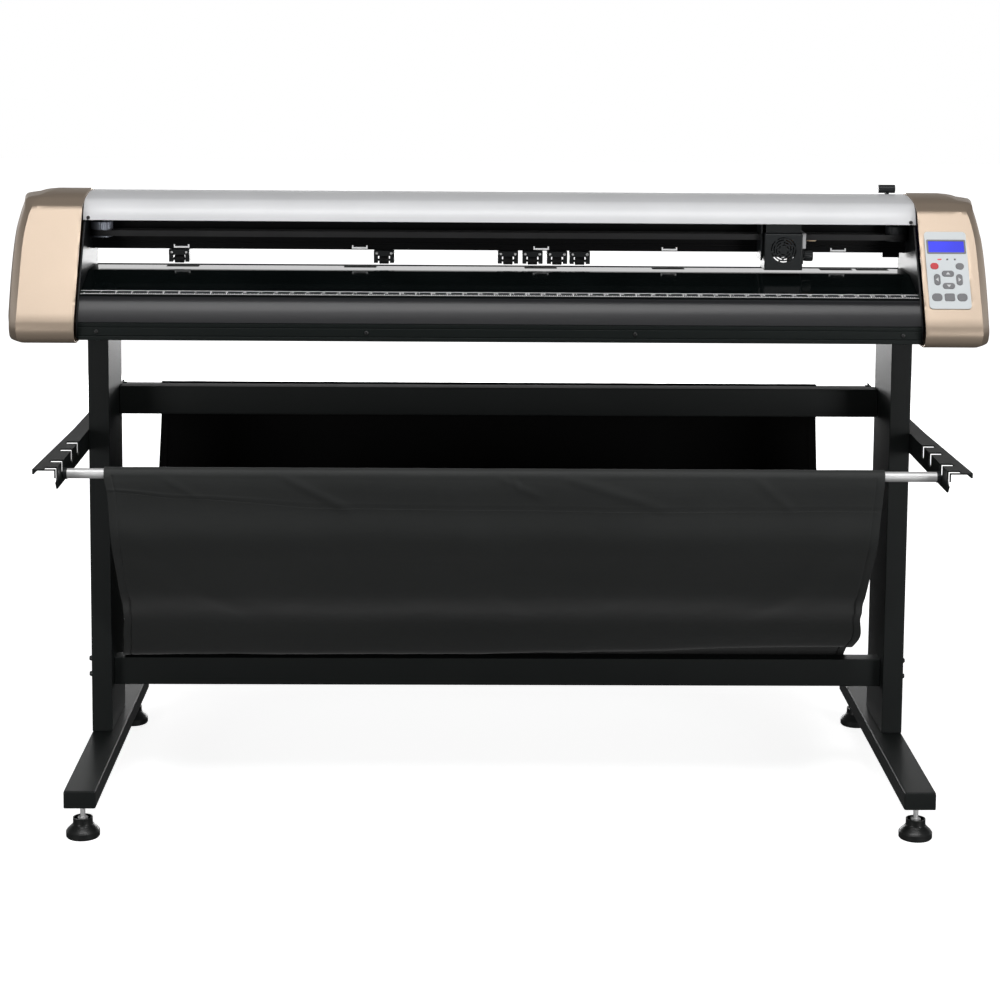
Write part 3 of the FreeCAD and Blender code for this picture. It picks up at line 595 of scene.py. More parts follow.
def cover_heights():
    """Sampling heights: close together where the form turns, and one at every opening edge."""
    heights = {PANEL_HOLE[2], PANEL_HOLE[3], COVER_TOP}
    for hole in REAR_HOLES:
        heights |= {hole[2], hole[3], hole[2] - 0.9, hole[3] + 0.9}
    for a, b, n in ((COVER_BOTTOM, SKIRT_TOP, 8), (SKIRT_TOP, FACE_FOOT[1], 6), (FACE_FOOT[1], SHOULDER, 10),
                    (SHOULDER, FACE_TOP, 8), (FACE_TOP, COVER_TOP, 14)):
        heights |= {a + (b - a) * i / n for i in range(n)}
    ordered = sorted(heights)
    return [z for k, z in enumerate(ordered) if k == 0 or z - ordered[k - 1] > 0.3]


def in_hole(points, hole, on_front):
    xs = [p.x for p in points]
    zs = [p.z for p in points]
    ys = [p.y for p in points]
    facing = max(ys) < -60.0 if on_front else min(ys) > 20.0
    return (facing and min(xs) > hole[0] - 0.1 and max(xs) < hole[1] + 0.1
            and min(zs) > hole[2] - 0.1 and max(zs) < hole[3] + 0.1)


def end_cover(sign, name, node_name):
    """Moulded shell: outer skin, capped top and bottom, open towards the middle."""
    heights = cover_heights()
    rings = [cover_plan(z) for z in heights]
    count = len(rings[0])
    points = [p for ring in rings for p in ring]
    faces = []
    for face in grid_faces(len(rings), count):
        corners = [points[k] for k in face]
        holes = sign > 0 and (in_hole(corners, PANEL_HOLE, True)
                              or any(in_hole(corners, hole, False) for hole in REAR_HOLES))
        if not holes:
            faces.append(face)
    for start, flip in (((len(rings) - 1) * count, False), (0, True)):
        for i in range(count // 2):
            a, b, c, d = start + i, start + i + 1, start + count - 2 - i, start + count - 1 - i
            if b <= c:
                face = (a, b, d) if b == c else (a, b, c, d)
                faces.append(tuple(reversed(face)) if flip else face)
    if sign < 0:
        faces = [tuple(reversed(face)) for face in faces]
    placed = [Vector((sign * p.x, p.y + ROW_SHIFT, p.z)) * MM for p in points]
    cover = add_piece(name, placed, faces, MATS["gold_paint"], ROOT, "gold_paint")
    shade(cover, 30)
    wall = thicken(cover, 2.6)
    wall.use_even_offset = False
    bevel(cover, 0.9, 3, 30)
    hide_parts(node_name)


def white_top_cover():
    """Curved white sheet over the rail, with a rolled front edge."""
    line = [(17, 980), (17.2, 985.5), (16, 990), (12, 993), (0, 994.8), (-25, 995), (-50, 993.2),
            (-72, 990.2), (-88, 986.8)]
    front = [(-88, 986.8), (-95, 983.4), (-101.5, 978), (-107, 970.8), (-111, 962.5), (-113, 954)]
    profile = spline([(y, z, 0) for y, z in line], 6)[:-1] + spline([(y, z, 0) for y, z in front], 6)
    half = COVER_INNER_X - 0.4
    columns = 34
    verts = []
    for i in range(columns + 1):
        x = -half + 2 * half * i / columns
        verts += [mm(x, p[0] + ROW_SHIFT, p[1]) for p in profile]
    faces = grid_faces(columns + 1, len(profile))
    cover = add_piece("white_top_cover", verts, faces, MATS["white_cover_paint"], ROOT,
                      "white_cover_paint")
    shade(cover, 28)
    thicken(cover, 2.0)
    bevel(cover, 0.5, 2, 50)
    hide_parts("top_cover")


def make_covers():
    end_cover(1, "gold_cover_right", "right_end_cover")
    end_cover(-1, "gold_cover_left", "left_end_cover")
    white_top_cover()


# ------------------------------------------------------------------ catch basket cloth

FRONT_ROD = (-315.0, 581.5)
REAR_ROD = (359.0, 604.1)
SLEEVE_R = 9.5
CLOTH_T = 1.1
CLOTH_PATH = (
    (-324.5, 581.5), (-319.5, 560.0), (-305.0, 520.0), (-288.0, 469.0), (-242.0, 412.0),
    (-191.0, 355.0), (-105.0, 296.0), (-62.0, 246.0), (-28.0, 213.5), (0.0, 208.3),
    (20.0, 200.0), (45.0, 185.0), (85.0, 171.0), (125.0, 176.0), (175.0, 200.0), (230.0, 250.0),
    (287.0, 330.0), (325.0, 420.0), (343.0, 500.0), (349.3, 560.0), (349.6, 604.1),
)
# share of the way along the path, left edge x, right edge x
CLOTH_EDGES = (
    (0.00, -613.0, 598.0), (0.10, -611.5, 596.0), (0.24, -611.0, 594.0), (0.31, -617.0, 602.0),
    (0.37, -624.0, 610.0), (0.42, -630.0, 603.0), (0.48, -634.5, 600.0), (0.60, -632.0, 598.0),
    (0.80, -616.0, 592.0), (1.00, -610.0, 589.5),
)
RAIL_TOP = (-27.0, 9.0, 206.4)
# sleeve seam: share of the width, drop below the rod centre in mm
FRONT_SEAM = ((0.00, 28.0), (0.10, 40.0), (0.30, 57.0), (0.65, 60.0), (1.00, 58.0))
REAR_SEAM_DROP = 46.0
CLOTH_WIDTH = 1211.0  # nominal, for spacing the columns
# creases in the front sleeve: x and drop at the start, x and drop at the end, height, half width
SLEEVE_CREASES = (
    (-330.0, 6.0, -247.0, 55.0, 1.7, 7.0), (3.0, 5.0, 60.0, 35.0, 1.3, 6.0),
    (105.0, 3.0, 240.0, 50.0, 1.6, 8.0), (-520.0, 8.0, -470.0, 40.0, 0.9, 6.0),
    (400.0, 6.0, 455.0, 58.0, 1.0, 7.0), (12.0, 4.0, 20.0, 22.0, -0.9, 4.0),
    (28.0, 4.0, 34.0, 20.0, -0.8, 4.0),
)
# long soft folds in the hanging sheet: x and drop at both ends, height, half width
SHEET_FOLDS = (
    (-600.0, 80.0, -420.0, 330.0, 2.2, 26.0), (-300.0, 70.0, -345.0, 300.0, 1.6, 22.0),
    (-60.0, 75.0, 40.0, 310.0, 1.8, 28.0), (250.0, 80.0, 190.0, 280.0, 1.5, 24.0),
    (560.0, 90.0, 430.0, 340.0, 2.0, 26.0),
)


def table_value(table, at, column=1):
    for low, high in zip(table, table[1:]):
        if at <= high[0]:
            t = smoothstep(low[0], high[0], at)
            return low[column] + (high[column] - low[column]) * t
    return table[-1][column]


def arc_table(points):
    run = [0.0]
    for a, b in zip(points, points[1:]):
        run.append(run[-1] + (b - a).length)
    return run


def point_at(points, run, distance):
    k = 0
    while k < len(run) - 2 and distance > run[k + 1]:
        k += 1
    t = (distance - run[k]) / (run[k + 1] - run[k])
    return points[k].lerp(points[k + 1], t), (points[k + 1] - points[k]).normalized()


def ridge(x, drop, x0, d0, x1, d1, height, half):
    """Height of a crease that runs from (x0, d0) to (x1, d1) and fades at both ends."""
    along = Vector((x1 - x0, d1 - d0))
    length = along.length
    along.normalize()
    spot = Vector((x - x0, drop - d0))
    t = spot.dot(along) / length
    if t < -0.3 or t > 1.3:
        return 0.0
    off = spot.x * along.y - spot.y * along.x
    fade = smoothstep(-0.3, 0.15, t) * (1 - smoothstep(0.8, 1.3, t))
    return height * fade * math.exp(-(off / half) ** 2)


def cloth_relief(x, drop, hem):
    """How far the sheet stands off its mean path, in mm; drop is measured along the cloth."""
    free = smoothstep(4.0, 40.0, drop)
    wave = noise3(Vector((x * 0.0042, drop * 0.0052, 1.7)))
    small = noise3(Vector((x * 0.017, drop * 0.011, 5.1)))
    fine = noise3(Vector((x * 0.06, drop * 0.035, 9.3)))
    height = free * (2.6 * wave + 0.75 * small) + smoothstep(2.0, 14.0, drop) * 0.22 * fine
    for crease in SLEEVE_CREASES:
        height += ridge(x, drop, *crease)
    for fold in SHEET_FOLDS:
        height += ridge(x, drop, *fold)
    for level in (150.0, 262.0, 371.0):
        bend = 6.0 * noise3(Vector((x * 0.004, level, 2.0)))
        height += 0.45 * math.exp(-((drop - level - bend) / 5.0) ** 2)
    height -= 1.1 * math.exp(-((hem - 12.0) / 1.6) ** 2)
    if hem < 12.0:
        height += 1.2
        height += 0.8 * math.sin(drop * 0.045 + 1.3) * smoothstep(20.0, 120.0, drop)
    return height


def cloth_columns():
    """Shares across the width, close together at both hems."""
    hem = (0.0, 1.2, 3.5, 7.0, 10.0, 11.2, 12.0, 12.8, 14.0, 17.0, 22.0)
    inner = [hem[-1] + (CLOTH_WIDTH - 2 * hem[-1]) * i / 280 for i in range(1, 280)]
    spots = list(hem) + inner + [CLOTH_WIDTH - h for h in reversed(hem)]
    return [s / CLOTH_WIDTH for s in spots]


def cloth_basket():
    """One sheet: back of the front sleeve, round the rod, down the front, through and up the rear."""
    path = spline([(y, z, 0.0) for y, z in CLOTH_PATH], 10)
    run = arc_table(path)
    total = run[-1]
    shares = cloth_columns()
    rows = [("front back", 1 - k / 7) for k in range(7)]
    rows += [("front round", k / 14) for k in range(15)]
    rows += [("front face", k / 14) for k in range(1, 14)]
    rows += [("sheet", s) for s in (0.0, 0.0025, 0.005, 0.009, 0.014)]
    rows += [("sheet", 0.014 + 0.986 * k / 85) for k in range(1, 85)]
    rows += [("rear round", k / 14) for k in range(15)]
    rows += [("rear back", k / 8) for k in range(1, 9)]
    verts = []
    seam_front = []
    for part, s in rows:
        for share in shares:
            seam = table_value(FRONT_SEAM, share)
            if part in ("front back", "front face"):
                drop = s * seam
            elif part == "sheet":
                drop = seam + (total - seam) * s
            elif part == "rear back":
                drop = total - s * REAR_SEAM_DROP
            else:
                drop = 0.0 if part == "front round" else total
            along = drop / total
            left = table_value(CLOTH_EDGES, along, 1)
            right = table_value(CLOTH_EDGES, along, 2)
            if part.startswith("front") and share < 0.5:
                left -= 3.5 * (1 - smoothstep(0.0, 34.0, drop))
            x = left + (right - left) * share
            hem = min(x - left, right - x)
            if part in ("front round", "rear round"):
                turn = math.pi * s
                rod = FRONT_ROD if part == "front round" else REAR_ROD
                swing = 1.0 if part == "front round" else -1.0
                tight = SLEEVE_R + 0.25 * (1 + noise3(Vector((x * 0.03, turn, 3.3))))
                y = rod[0] + swing * tight * math.cos(turn)
                z = rod[1] + tight * math.sin(turn)
            else:
                spot, way = point_at(path, run, drop)
                normal = Vector((way.y, -way.x, 0.0))
                lift = cloth_relief(x, drop, hem) * (1 - smoothstep(total - 60.0, total - 8.0, drop))
                if part in ("front face", "sheet"):
                    near = drop - seam
                    lift += 1.0 * math.exp(-((near + 2.2) / 1.8) ** 2)
                    lift -= 0.9 * math.exp(-(near / 1.1) ** 2)
                spot = spot + normal * lift
                if part == "front back":
                    start = Vector((FRONT_ROD[0] + SLEEVE_R, FRONT_ROD[1], 0.0))
                    end, end_way = point_at(path, run, seam)
                    back = Vector((end_way.y, -end_way.x, 0.0)) * (lift * s - 1.5)
                    spot = start.lerp(end + back, s)
                if part == "rear back":
                    start = Vector((REAR_ROD[0] + SLEEVE_R, REAR_ROD[1], 0.0))
                    end, end_way = point_at(path, run, total - REAR_SEAM_DROP)
                    back = Vector((end_way.y, -end_way.x, 0.0)) * 1.5
                    spot = start.lerp(end + back, s)
                y, z = spot.x, spot.y
                z += 15.0 * smoothstep(0.35, 1.0, share) * math.exp(-((y + 5.0) / 70.0) ** 2)
                if RAIL_TOP[0] < y < RAIL_TOP[1]:
                    z = max(z, RAIL_TOP[2])
            verts.append(Vector((x, y, z)) * MM)
            if part == "sheet" and s == 0.0:
                seam_front.append(verts[-1].copy())
    count = len(shares)
    faces = grid_faces(len(rows), count)
    cloth = add_piece("basket_cloth", verts, faces, [CLOTH_PAINTED_SHADE, MATS["basket_cloth"]], ROOT,
                      "basket_cloth", True)
    # One side of the sheet keeps the first, near-black material as painted shade inside the basket; the other
    # side and the rims get the woven cloth.
    wall = thicken(cloth, CLOTH_T, 0.0)
    wall.material_offset = 1
    wall.material_offset_rim = 1
    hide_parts("basket_fabric")
    stitch_row("front_seam_stitches", seam_front, Vector((0, -0.80, 2.9)) * MM)
    stitch_row("front_seam_stitches_lower", seam_front, Vector((0, -0.35, -3.0)) * MM)


def stitch_row(name, line, offset):
    """Short thread dashes that follow a seam."""
    verts = []
    faces = []
    run = arc_table(line)
    length, gap, half = 3.0 * MM, 1.6 * MM, 0.28 * MM
    at = 6.0 * MM
    while at + length < run[-1] - 6.0 * MM:
        a, way = point_at(line, run, at)
        b, way = point_at(line, run, at + length)
        base = len(verts)
        for end in (a, b):
            for dy, dz in ((-1, -1), (-1, 1), (1, 1), (1, -1)):
                verts.append(end + offset + Vector((0, dy * half, dz * half)))
        for k in range(4):
            m = (k + 1) % 4
            faces.append((base + k, base + m, base + 4 + m, base + 4 + k))
        faces.append((base + 3, base + 2, base + 1, base))
        faces.append((base + 4, base + 5, base + 6, base + 7))
        at += length + gap
    add_piece(name, verts, faces, MATS["basket_cloth"], ROOT, "basket_cloth")


# ------------------------------------------------------------------ printed and fitted details

RULER_Y = (-139.5, -154.0)
SLOPE_BEND_Y = -145.0
SLOPE_TOP = (-62.0, 869.0)
SLOPE_MID = (-145.0, 843.5)
SLOPE_END = (-155.0, 841.0)
SEGMENTS = {
    "0": "abcdef", "1": "bc", "2": "abged", "3": "abgcd", "4": "fgbc",
    "5": "afgcd", "6": "afgedc", "7": "abc", "8": "abcdefg", "9": "abcdfg",
}


def slope_z(y):
    a, b = (SLOPE_TOP, SLOPE_MID) if y >= SLOPE_BEND_Y else (SLOPE_MID, SLOPE_END)
    return a[1] + (b[1] - a[1]) * (y - a[0]) / (b[0] - a[0])


def slope_patch(x0, x1, y0, y1, lift, height):
    """Thin plate that lies on the sloping table between two lines, following its bend."""
    lines = [y0, y1] if (y0 - SLOPE_BEND_Y) * (y1 - SLOPE_BEND_Y) >= 0 else [y0, SLOPE_BEND_Y, y1]
    verts = []
    for y in lines:
        z = slope_z(y) + lift
        verts += [mm(x0, y, z), mm(x1, y, z), mm(x1, y - 0.3 * height, z + height),
                  mm(x0, y - 0.3 * height, z + height)]
    faces = [(0, 1, 2, 3)]
    for k in range(len(lines) - 1):
        a, b = 4 * k, 4 * k + 4
        faces += [(a, b, b + 1, a + 1), (a + 1, b + 1, b + 2, a + 2), (a + 2, b + 2, b + 3, a + 3),
                  (a + 3, b + 3, b, a)]
    end = 4 * (len(lines) - 1)
    faces.append((end + 3, end + 2, end + 1, end))
    return verts, faces


def ruler():
    """Black strip with white edge lines, inch and fraction ticks and plain numbers; the white marks carry a
    painted glow.
    """
    half = 676.4
    base = slope_patch(-half, half, RULER_Y[0], RULER_Y[1], 0.05, 0.3)
    add_piece("ruler_strip", *base, MATS["black_plastic"], ROOT, "black_plastic")
    marks = [slope_patch(-half, half, RULER_Y[0] - 0.4, RULER_Y[0] - 1.6, 0.36, 0.12),
             slope_patch(-half, half, RULER_Y[1] + 1.2, RULER_Y[1] + 0.2, 0.36, 0.12)]
    inch = 25.4
    eighth = 0
    while eighth * inch / 8 < 2 * half - 12:
        x = -half + 6 + eighth * inch / 8
        size = 4.8 if eighth % 8 == 0 else 3.6 if eighth % 4 == 0 else 2.6 if eighth % 2 == 0 else 1.8
        wide = 0.65 if eighth % 8 == 0 else 0.45
        foot = RULER_Y[1] + 1.2
        marks.append(slope_patch(x - wide, x + wide, foot + size, foot, 0.36, 0.12))
        if eighth % 8 == 0 and eighth:
            marks += number(str(eighth // 8), x - 1.5, RULER_Y[1] + 6.6)
        eighth += 1
    add_piece("ruler_marks", *merged(marks), GLOWING_MARK_WHITE, ROOT, "white_cover_paint")


def number(text, x, y):
    """Plain block numerals, 5 mm tall along the slope."""
    tall, wide, pen = 5.0, 3.0, 0.65
    cells = []
    for i, digit in enumerate(text):
        left = x + i * (wide + 1.2)
        spots = {
            "a": (left, left + wide, y + tall, y + tall - pen), "d": (left, left + wide, y + pen, y),
            "g": (left, left + wide, y + (tall + pen) / 2, y + (tall - pen) / 2),
            "b": (left + wide - pen, left + wide, y + tall, y + tall / 2),
            "c": (left + wide - pen, left + wide, y + tall / 2, y),
            "f": (left, left + pen, y + tall, y + tall / 2), "e": (left, left + pen, y + tall / 2, y),
        }
        for name in SEGMENTS[digit]:
            cells.append(slope_patch(*spots[name], 0.36, 0.12))
    return cells


def roller_marks():
    """White printed brackets on the rail that show where the grit rollers are; the print carries a painted
    glow.
    """
    front_y = -15.0
    marks = []
    for x in (-529.0, -233.0, 69.0, 283.0, 565.0):
        marks.append(((x - 13, front_y - 0.25, 901.5), (x + 13, front_y, 904.3)))
        marks.append(((x - 13, front_y - 0.25, 904.3), (x - 10.6, front_y, 907.2)))
        marks.append(((x + 10.6, front_y - 0.25, 904.3), (x + 13, front_y, 907.2)))
    verts, faces = box_mesh(marks)
    piece = add_piece("roller_position_marks", [mm(*v) for v in verts], faces, GLOWING_MARK_WHITE, ROOT,
                      "white_cover_paint")
    bevel(piece, 0.1, 1)


def table_trim():
    """Thin raised lip along the rear edge of the table."""
    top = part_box("platen")[1]
    rear, level = top.y / MM, top.z / MM
    outline = [(rear, level - 0.05), (rear, level + 0.7), (rear - 0.4, level + 1.0),
               (rear - 4.4, level + 1.0), (rear - 5.0, level + 0.5), (rear - 5.0, level - 0.05)]
    count = len(outline)
    verts = [mm(x, y, z) for x in (-675.0, 675.0) for y, z in outline]
    faces = [tuple(range(count)), tuple(reversed(range(count, 2 * count)))]
    for k in range(count):
        m = (k + 1) % count
        faces.append((k, count + k, count + m, m))
    lip = add_piece("table_trim", verts, faces, MATS["black_plastic"], ROOT, "black_plastic")
    bevel(lip, 0.15, 2)


SLOPE_ANGLE = math.pi / 2 - math.atan(FACE_SLOPE)
PANEL_TOP = 2.0
KEY_TOP = 3.0


def on_panel(x, v, h):
    """Point on the sloping face: x across, v up the slope, h out of it, all in mm."""
    c, s = math.cos(SLOPE_ANGLE), math.sin(SLOPE_ANGLE)
    return mm(x, FACE_FOOT[0] + ROW_SHIFT + v * c - h * s, FACE_FOOT[1] + v * s + h * c)


def panel_prism(outline, low, high):
    """Flat shape on the panel plane with an even thickness."""
    count = len(outline)
    verts = [on_panel(x, v, low) for x, v in outline] + [on_panel(x, v, high) for x, v in outline]
    faces = [tuple(reversed(range(count))), tuple(range(count, 2 * count))]
    for k in range(count):
        m = (k + 1) % count
        faces.append((k, m, count + m, count + k))
    return verts, faces


def rounded_outline(x0, x1, v0, v1, r, steps=6):
    points = []
    for cx, cv, a0 in ((x1 - r, v0 + r, -90), (x1 - r, v1 - r, 0), (x0 + r, v1 - r, 90),
                       (x0 + r, v0 + r, 180)):
        for k in range(steps + 1):
            a = math.radians(a0 + 90 * k / steps)
            points.append((cx + r * math.cos(a), cv + r * math.sin(a)))
    return points


def key_arrows():
    """White triangles on the four direction keys."""
    arrows = {
        "key_up": ((-3.6, -1.9), (3.6, -1.9), (0, 2.6)), "key_down": ((3.6, 1.9), (-3.6, 1.9), (0, -2.6)),
        "key_left": ((1.9, -3.6), (1.9, 3.6), (-2.6, 0)), "key_right": ((-1.9, 3.6), (-1.9, -3.6), (2.6, 0)),
    }
    centres = {"key_up": (722.8, 91.0), "key_down": (722.8, 69.4), "key_left": (704.8, 80.4),
               "key_right": (740.8, 80.4)}
    for key, shape in arrows.items():
        cx, cv = centres[key]
        outline = [(cx + a, cv + b) for a, b in shape]
        verts, faces = panel_prism(outline, KEY_TOP - 0.05, KEY_TOP + 0.25)
        add_piece(key + "_arrow", verts, faces, WHITE_INK, key, "white_cover_paint")


def panel_details():
    """Indicator lights and the bezel of the display."""
    red = panel_prism(rounded_outline(707.6, 714.4, 115.0, 117.4, 1.1), PANEL_TOP - 0.1, PANEL_TOP + 0.5)
    lamp = add_piece("power_light", *red, INDICATOR_RED, ROOT, "key_red")
    bevel(lamp, 0.25, 2, 30)
    dots = []
    for x in (723.5, 736.0):
        dots.append(panel_prism(rounded_outline(x - 1.7, x + 1.7, 114.5, 117.9, 1.65), PANEL_TOP - 0.1,
                                PANEL_TOP + 0.5))
    lamps = add_piece("status_lights", *merged(dots), INDICATOR_DARK, ROOT, "black_plastic")
    bevel(lamps, 0.25, 2, 30)
    outer = rounded_outline(691.6, 755.2, 126.0, 151.4, 2.2)
    inner = rounded_outline(694.4, 752.6, 128.9, 148.6, 1.0)
    count = len(outer)
    verts = [on_panel(x, v, PANEL_TOP + 0.35) for x, v in outer]
    verts += [on_panel(x, v, PANEL_TOP + 0.35) for x, v in inner]
    verts += [on_panel(x, v, PANEL_TOP - 0.02) for x, v in outer]
    verts += [on_panel(x, v, PANEL_TOP - 0.38) for x, v in inner]
    faces = []
    for k in range(count):
        m = (k + 1) % count
        faces += [(k, m, count + m, count + k), (2 * count + k, 2 * count + m, m, k),
                  (count + k, count + m, 3 * count + m, 3 * count + k),
                  (3 * count + k, 3 * count + m, 2 * count + m, 2 * count + k)]
    add_piece("display_bezel", verts, faces, MATS["key_grey"], ROOT, "key_grey")


def socket_head(centre, axis, r, height):
    """Button-head screw with a six-sided socket."""
    along = Vector(axis).normalized()
    side = along.orthogonal().normalized()
    other = along.cross(side)
    segments = 24
    rows = [(r, 0.0, 0), (r, 0.35 * height, 0), (0.94 * r, 0.62 * height, 0), (0.80 * r, 0.88 * height, 0),
            (0.62 * r, height, 0), (0.50 * r, height, 1), (0.48 * r, 0.40 * height, 1)]
    verts = []
    for radius, out, six in rows:
        for k in range(segments):
            a = 2 * math.pi * k / segments
            value = radius
            if six:
                local = (a % (math.pi / 3)) - math.pi / 6
                value = radius * math.cos(math.pi / 6) / math.cos(local)
            spot = side * math.cos(a) + other * math.sin(a)
            verts.append(Vector(centre) + along * out + spot * value)
    return verts, tube_faces(len(rows), segments)


def islands(obj):
    """Separate lumps of a node's mesh, as lists of points."""
    mesh = obj.data
    keys = {}
    owner = []
    for v in mesh.vertices:
        key = tuple(round(c, 6) for c in v.co)
        owner.append(keys.setdefault(key, len(keys)))
    parent = list(range(len(keys)))

    def find(k):
        while parent[k] != k:
            parent[k] = parent[parent[k]]
            k = parent[k]
        return k

    for edge in mesh.edges:
        a, b = find(owner[edge.vertices[0]]), find(owner[edge.vertices[1]])
        parent[a] = b
    groups = {}
    for key, k in keys.items():
        groups.setdefault(find(k), []).append(Vector(key))
    return list(groups.values())


def screw_heads():
    """Domed socket heads in place of the plain CAD cylinders."""
    parts = []
    tilt = Vector((0, -0.99, 0.141)).normalized()
    for points in islands(NODES["fasteners"]):
        low, high = (Vector([pick(p[i] for p in points) for i in range(3)]) for pick in (min, max))
        size = high - low
        centre = 0.5 * (low + high)
        slanted = centre.z > 0.95
        if slanted:
            axis, r, height = tilt, 3.0 * MM, 1.6 * MM
        else:
            k = 0 if centre.z < 0.7 else 2 if abs(size.z - 6.0 * MM) < 0.1 * MM else 1
            sign = 1.0 if (k == 0 and centre.x > 0) else -1.0
            axis = Vector([sign if i == k else 0.0 for i in range(3)])
            r = 0.5 * max(size[i] for i in range(3) if i != k)
            height = size[k]
        seat = centre - axis * height / 2
        parts.append(socket_head(seat, axis, r, height))
    piece = add_piece("screw_heads", *merged(parts), MATS["screw_black"], ROOT, "screw_black")
    shade(piece, 40)
    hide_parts("fasteners")


def knurled(name, node_name, body, slot, ribs, rib_depth, collar):
    """Ribbed grip on its stem, drawn round the CAD knob's own axis."""
    low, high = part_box(node_name)
    centre = Vector((0, 0.5 * (low.y + high.y), 0.5 * (low.z + high.z)))
    r = 500.0 * (high.z - low.z)
    x1 = high.x / MM
    x0 = x1 - (16.5 if node_name == "brass_knob" else 15.5)
    stem = low.x / MM
    profile = [(2.5, stem), (2.5, x0), (r - 1.4, x0), (r - 0.4, x0 + 0.8)]
    if collar:
        profile += [(r - 0.4, x0 + 2.4), (r - 1.2, x0 + 2.8), (r - 1.2, x0 + 3.8)]
    profile += [(r, x0 + 4.4), (r, x1 - 1.6), (r - 0.8, x1 - 0.4), (r - 1.6, x1), (r - 2.6, x1),
                (r - 2.9, x1 - 0.5), (0.4, x1 - 0.5)]
    mesh = turned(profile, centre, (1, 0, 0), 96, ribs, rib_depth, (x0 + 4.3, x1 - 1.0))
    piece = add_piece(name, *mesh, MATS[slot], body, slot)
    shade(piece, 35)
    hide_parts(node_name)


def ribbed_pulley(name, node_name, body, material, slot):
    """Belt pulley: low flange, plain belt seat and a tall drum with upright ribs."""
    low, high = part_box(node_name)
    centre = Vector((0.5 * (low.x + high.x), 0.5 * (low.y + high.y), 0))
    z0, z1 = low.z / MM, high.z / MM
    drum = 500.0 * (high.x - low.x)
    rim = 16.0
    bore = 3.05 if centre.x < 0 else 2.55
    profile = [(bore, z0), (drum - 0.6, z0), (drum, z0 + 0.5), (drum, z0 + 1.4), (drum - 0.4, z0 + 1.8),
               (rim, z0 + 1.9), (rim, z1 - 12.6), (drum - 0.3, z1 - 12.5), (drum, z1 - 12.1),
               (drum, z1 - 0.9), (drum - 0.9, z1), (drum - 3.4, z1), (drum - 3.8, z1 - 0.6), (bore, z1 - 0.6)]
    segments = 144
    verts, faces = turned(profile, centre, (0, 0, 1), segments, 36, 0.5, (z1 - 12.2, z1 - 0.8))
    faces = faces[:-2]  # without caps: the bore stays open
    last = (len(profile) - 1) * segments
    for k in range(segments):
        m = (k + 1) % segments
        faces.append((last + k, last + m, m, k))
    piece = add_piece(name, verts, faces, material, body, slot)
    shade(piece, 35)
    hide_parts(node_name)


def toothed_belt():
    """Belt loop with square teeth on its inner side."""
    low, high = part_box("carriage_belt")
    mid_y = 0.5 * (low.y + high.y) / MM
    outer = 500.0 * (high.y - low.y)
    half = high.x / MM - outer
    centre_x = 0.5 * (low.x + high.x) / MM
    pitch = 3.0
    straight = 2 * half
    bend = math.pi * (outer - 0.6)
    total = 2 * straight + 2 * bend
    count = int(total / pitch)
    inner = outer - 1.15

    def spot(s, r):
        s %= total
        if s < straight:
            return (centre_x - half + s, mid_y - r)
        s -= straight
        if s < bend:
            a = -math.pi / 2 + math.pi * s / bend
            return (centre_x + half + r * math.cos(a), mid_y + r * math.sin(a))
        s -= bend
        if s < straight:
            return (centre_x + half - s, mid_y + r)
        a = math.pi / 2 + math.pi * (s - straight) / bend
        return (centre_x - half + r * math.cos(a), mid_y + r * math.sin(a))

    z0, z1 = low.z / MM, high.z / MM
    verts = []
    for k in range(count):
        for part, r in ((0.0, inner), (0.5, inner), (0.52, inner + 0.55), (0.98, inner + 0.55)):
            s = (k + part) * total / count
            ix, iy = spot(s, r)
            ox, oy = spot(s, outer)
            verts += [mm(ix, iy, z0), mm(ox, oy, z0), mm(ox, oy, z1), mm(ix, iy, z1)]
    rings = count * 4
    faces = []
    for i in range(rings):
        n = (i + 1) % rings
        for k in range(4):
            m = (k + 1) % 4
            faces.append((4 * i + k, 4 * n + k, 4 * n + m, 4 * i + m))
    belt = add_piece("toothed_belt", verts, faces, MATS["belt_rubber"], ROOT, "belt_rubber")
    shade(belt, 30)
    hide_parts("carriage_belt")


def coil(centre, r, wire, turns, pitch):
    """Spring wire wound round an axis along X."""
    steps = int(turns * 18)
    sides = 6
    verts = []
    for i in range(steps + 1):
        a = 2 * math.pi * i / 18
        x = centre[0] + pitch * i / 18
        out = Vector((0, math.cos(a), math.sin(a)))
        for k in range(sides):
            b = 2 * math.pi * k / sides
            verts.append(Vector((x, centre[1], centre[2])) + out * (r + wire * math.cos(b))
                         + Vector((wire * math.sin(b), 0, 0)))
    return [v * MM for v in verts], tube_faces(steps + 1, sides)


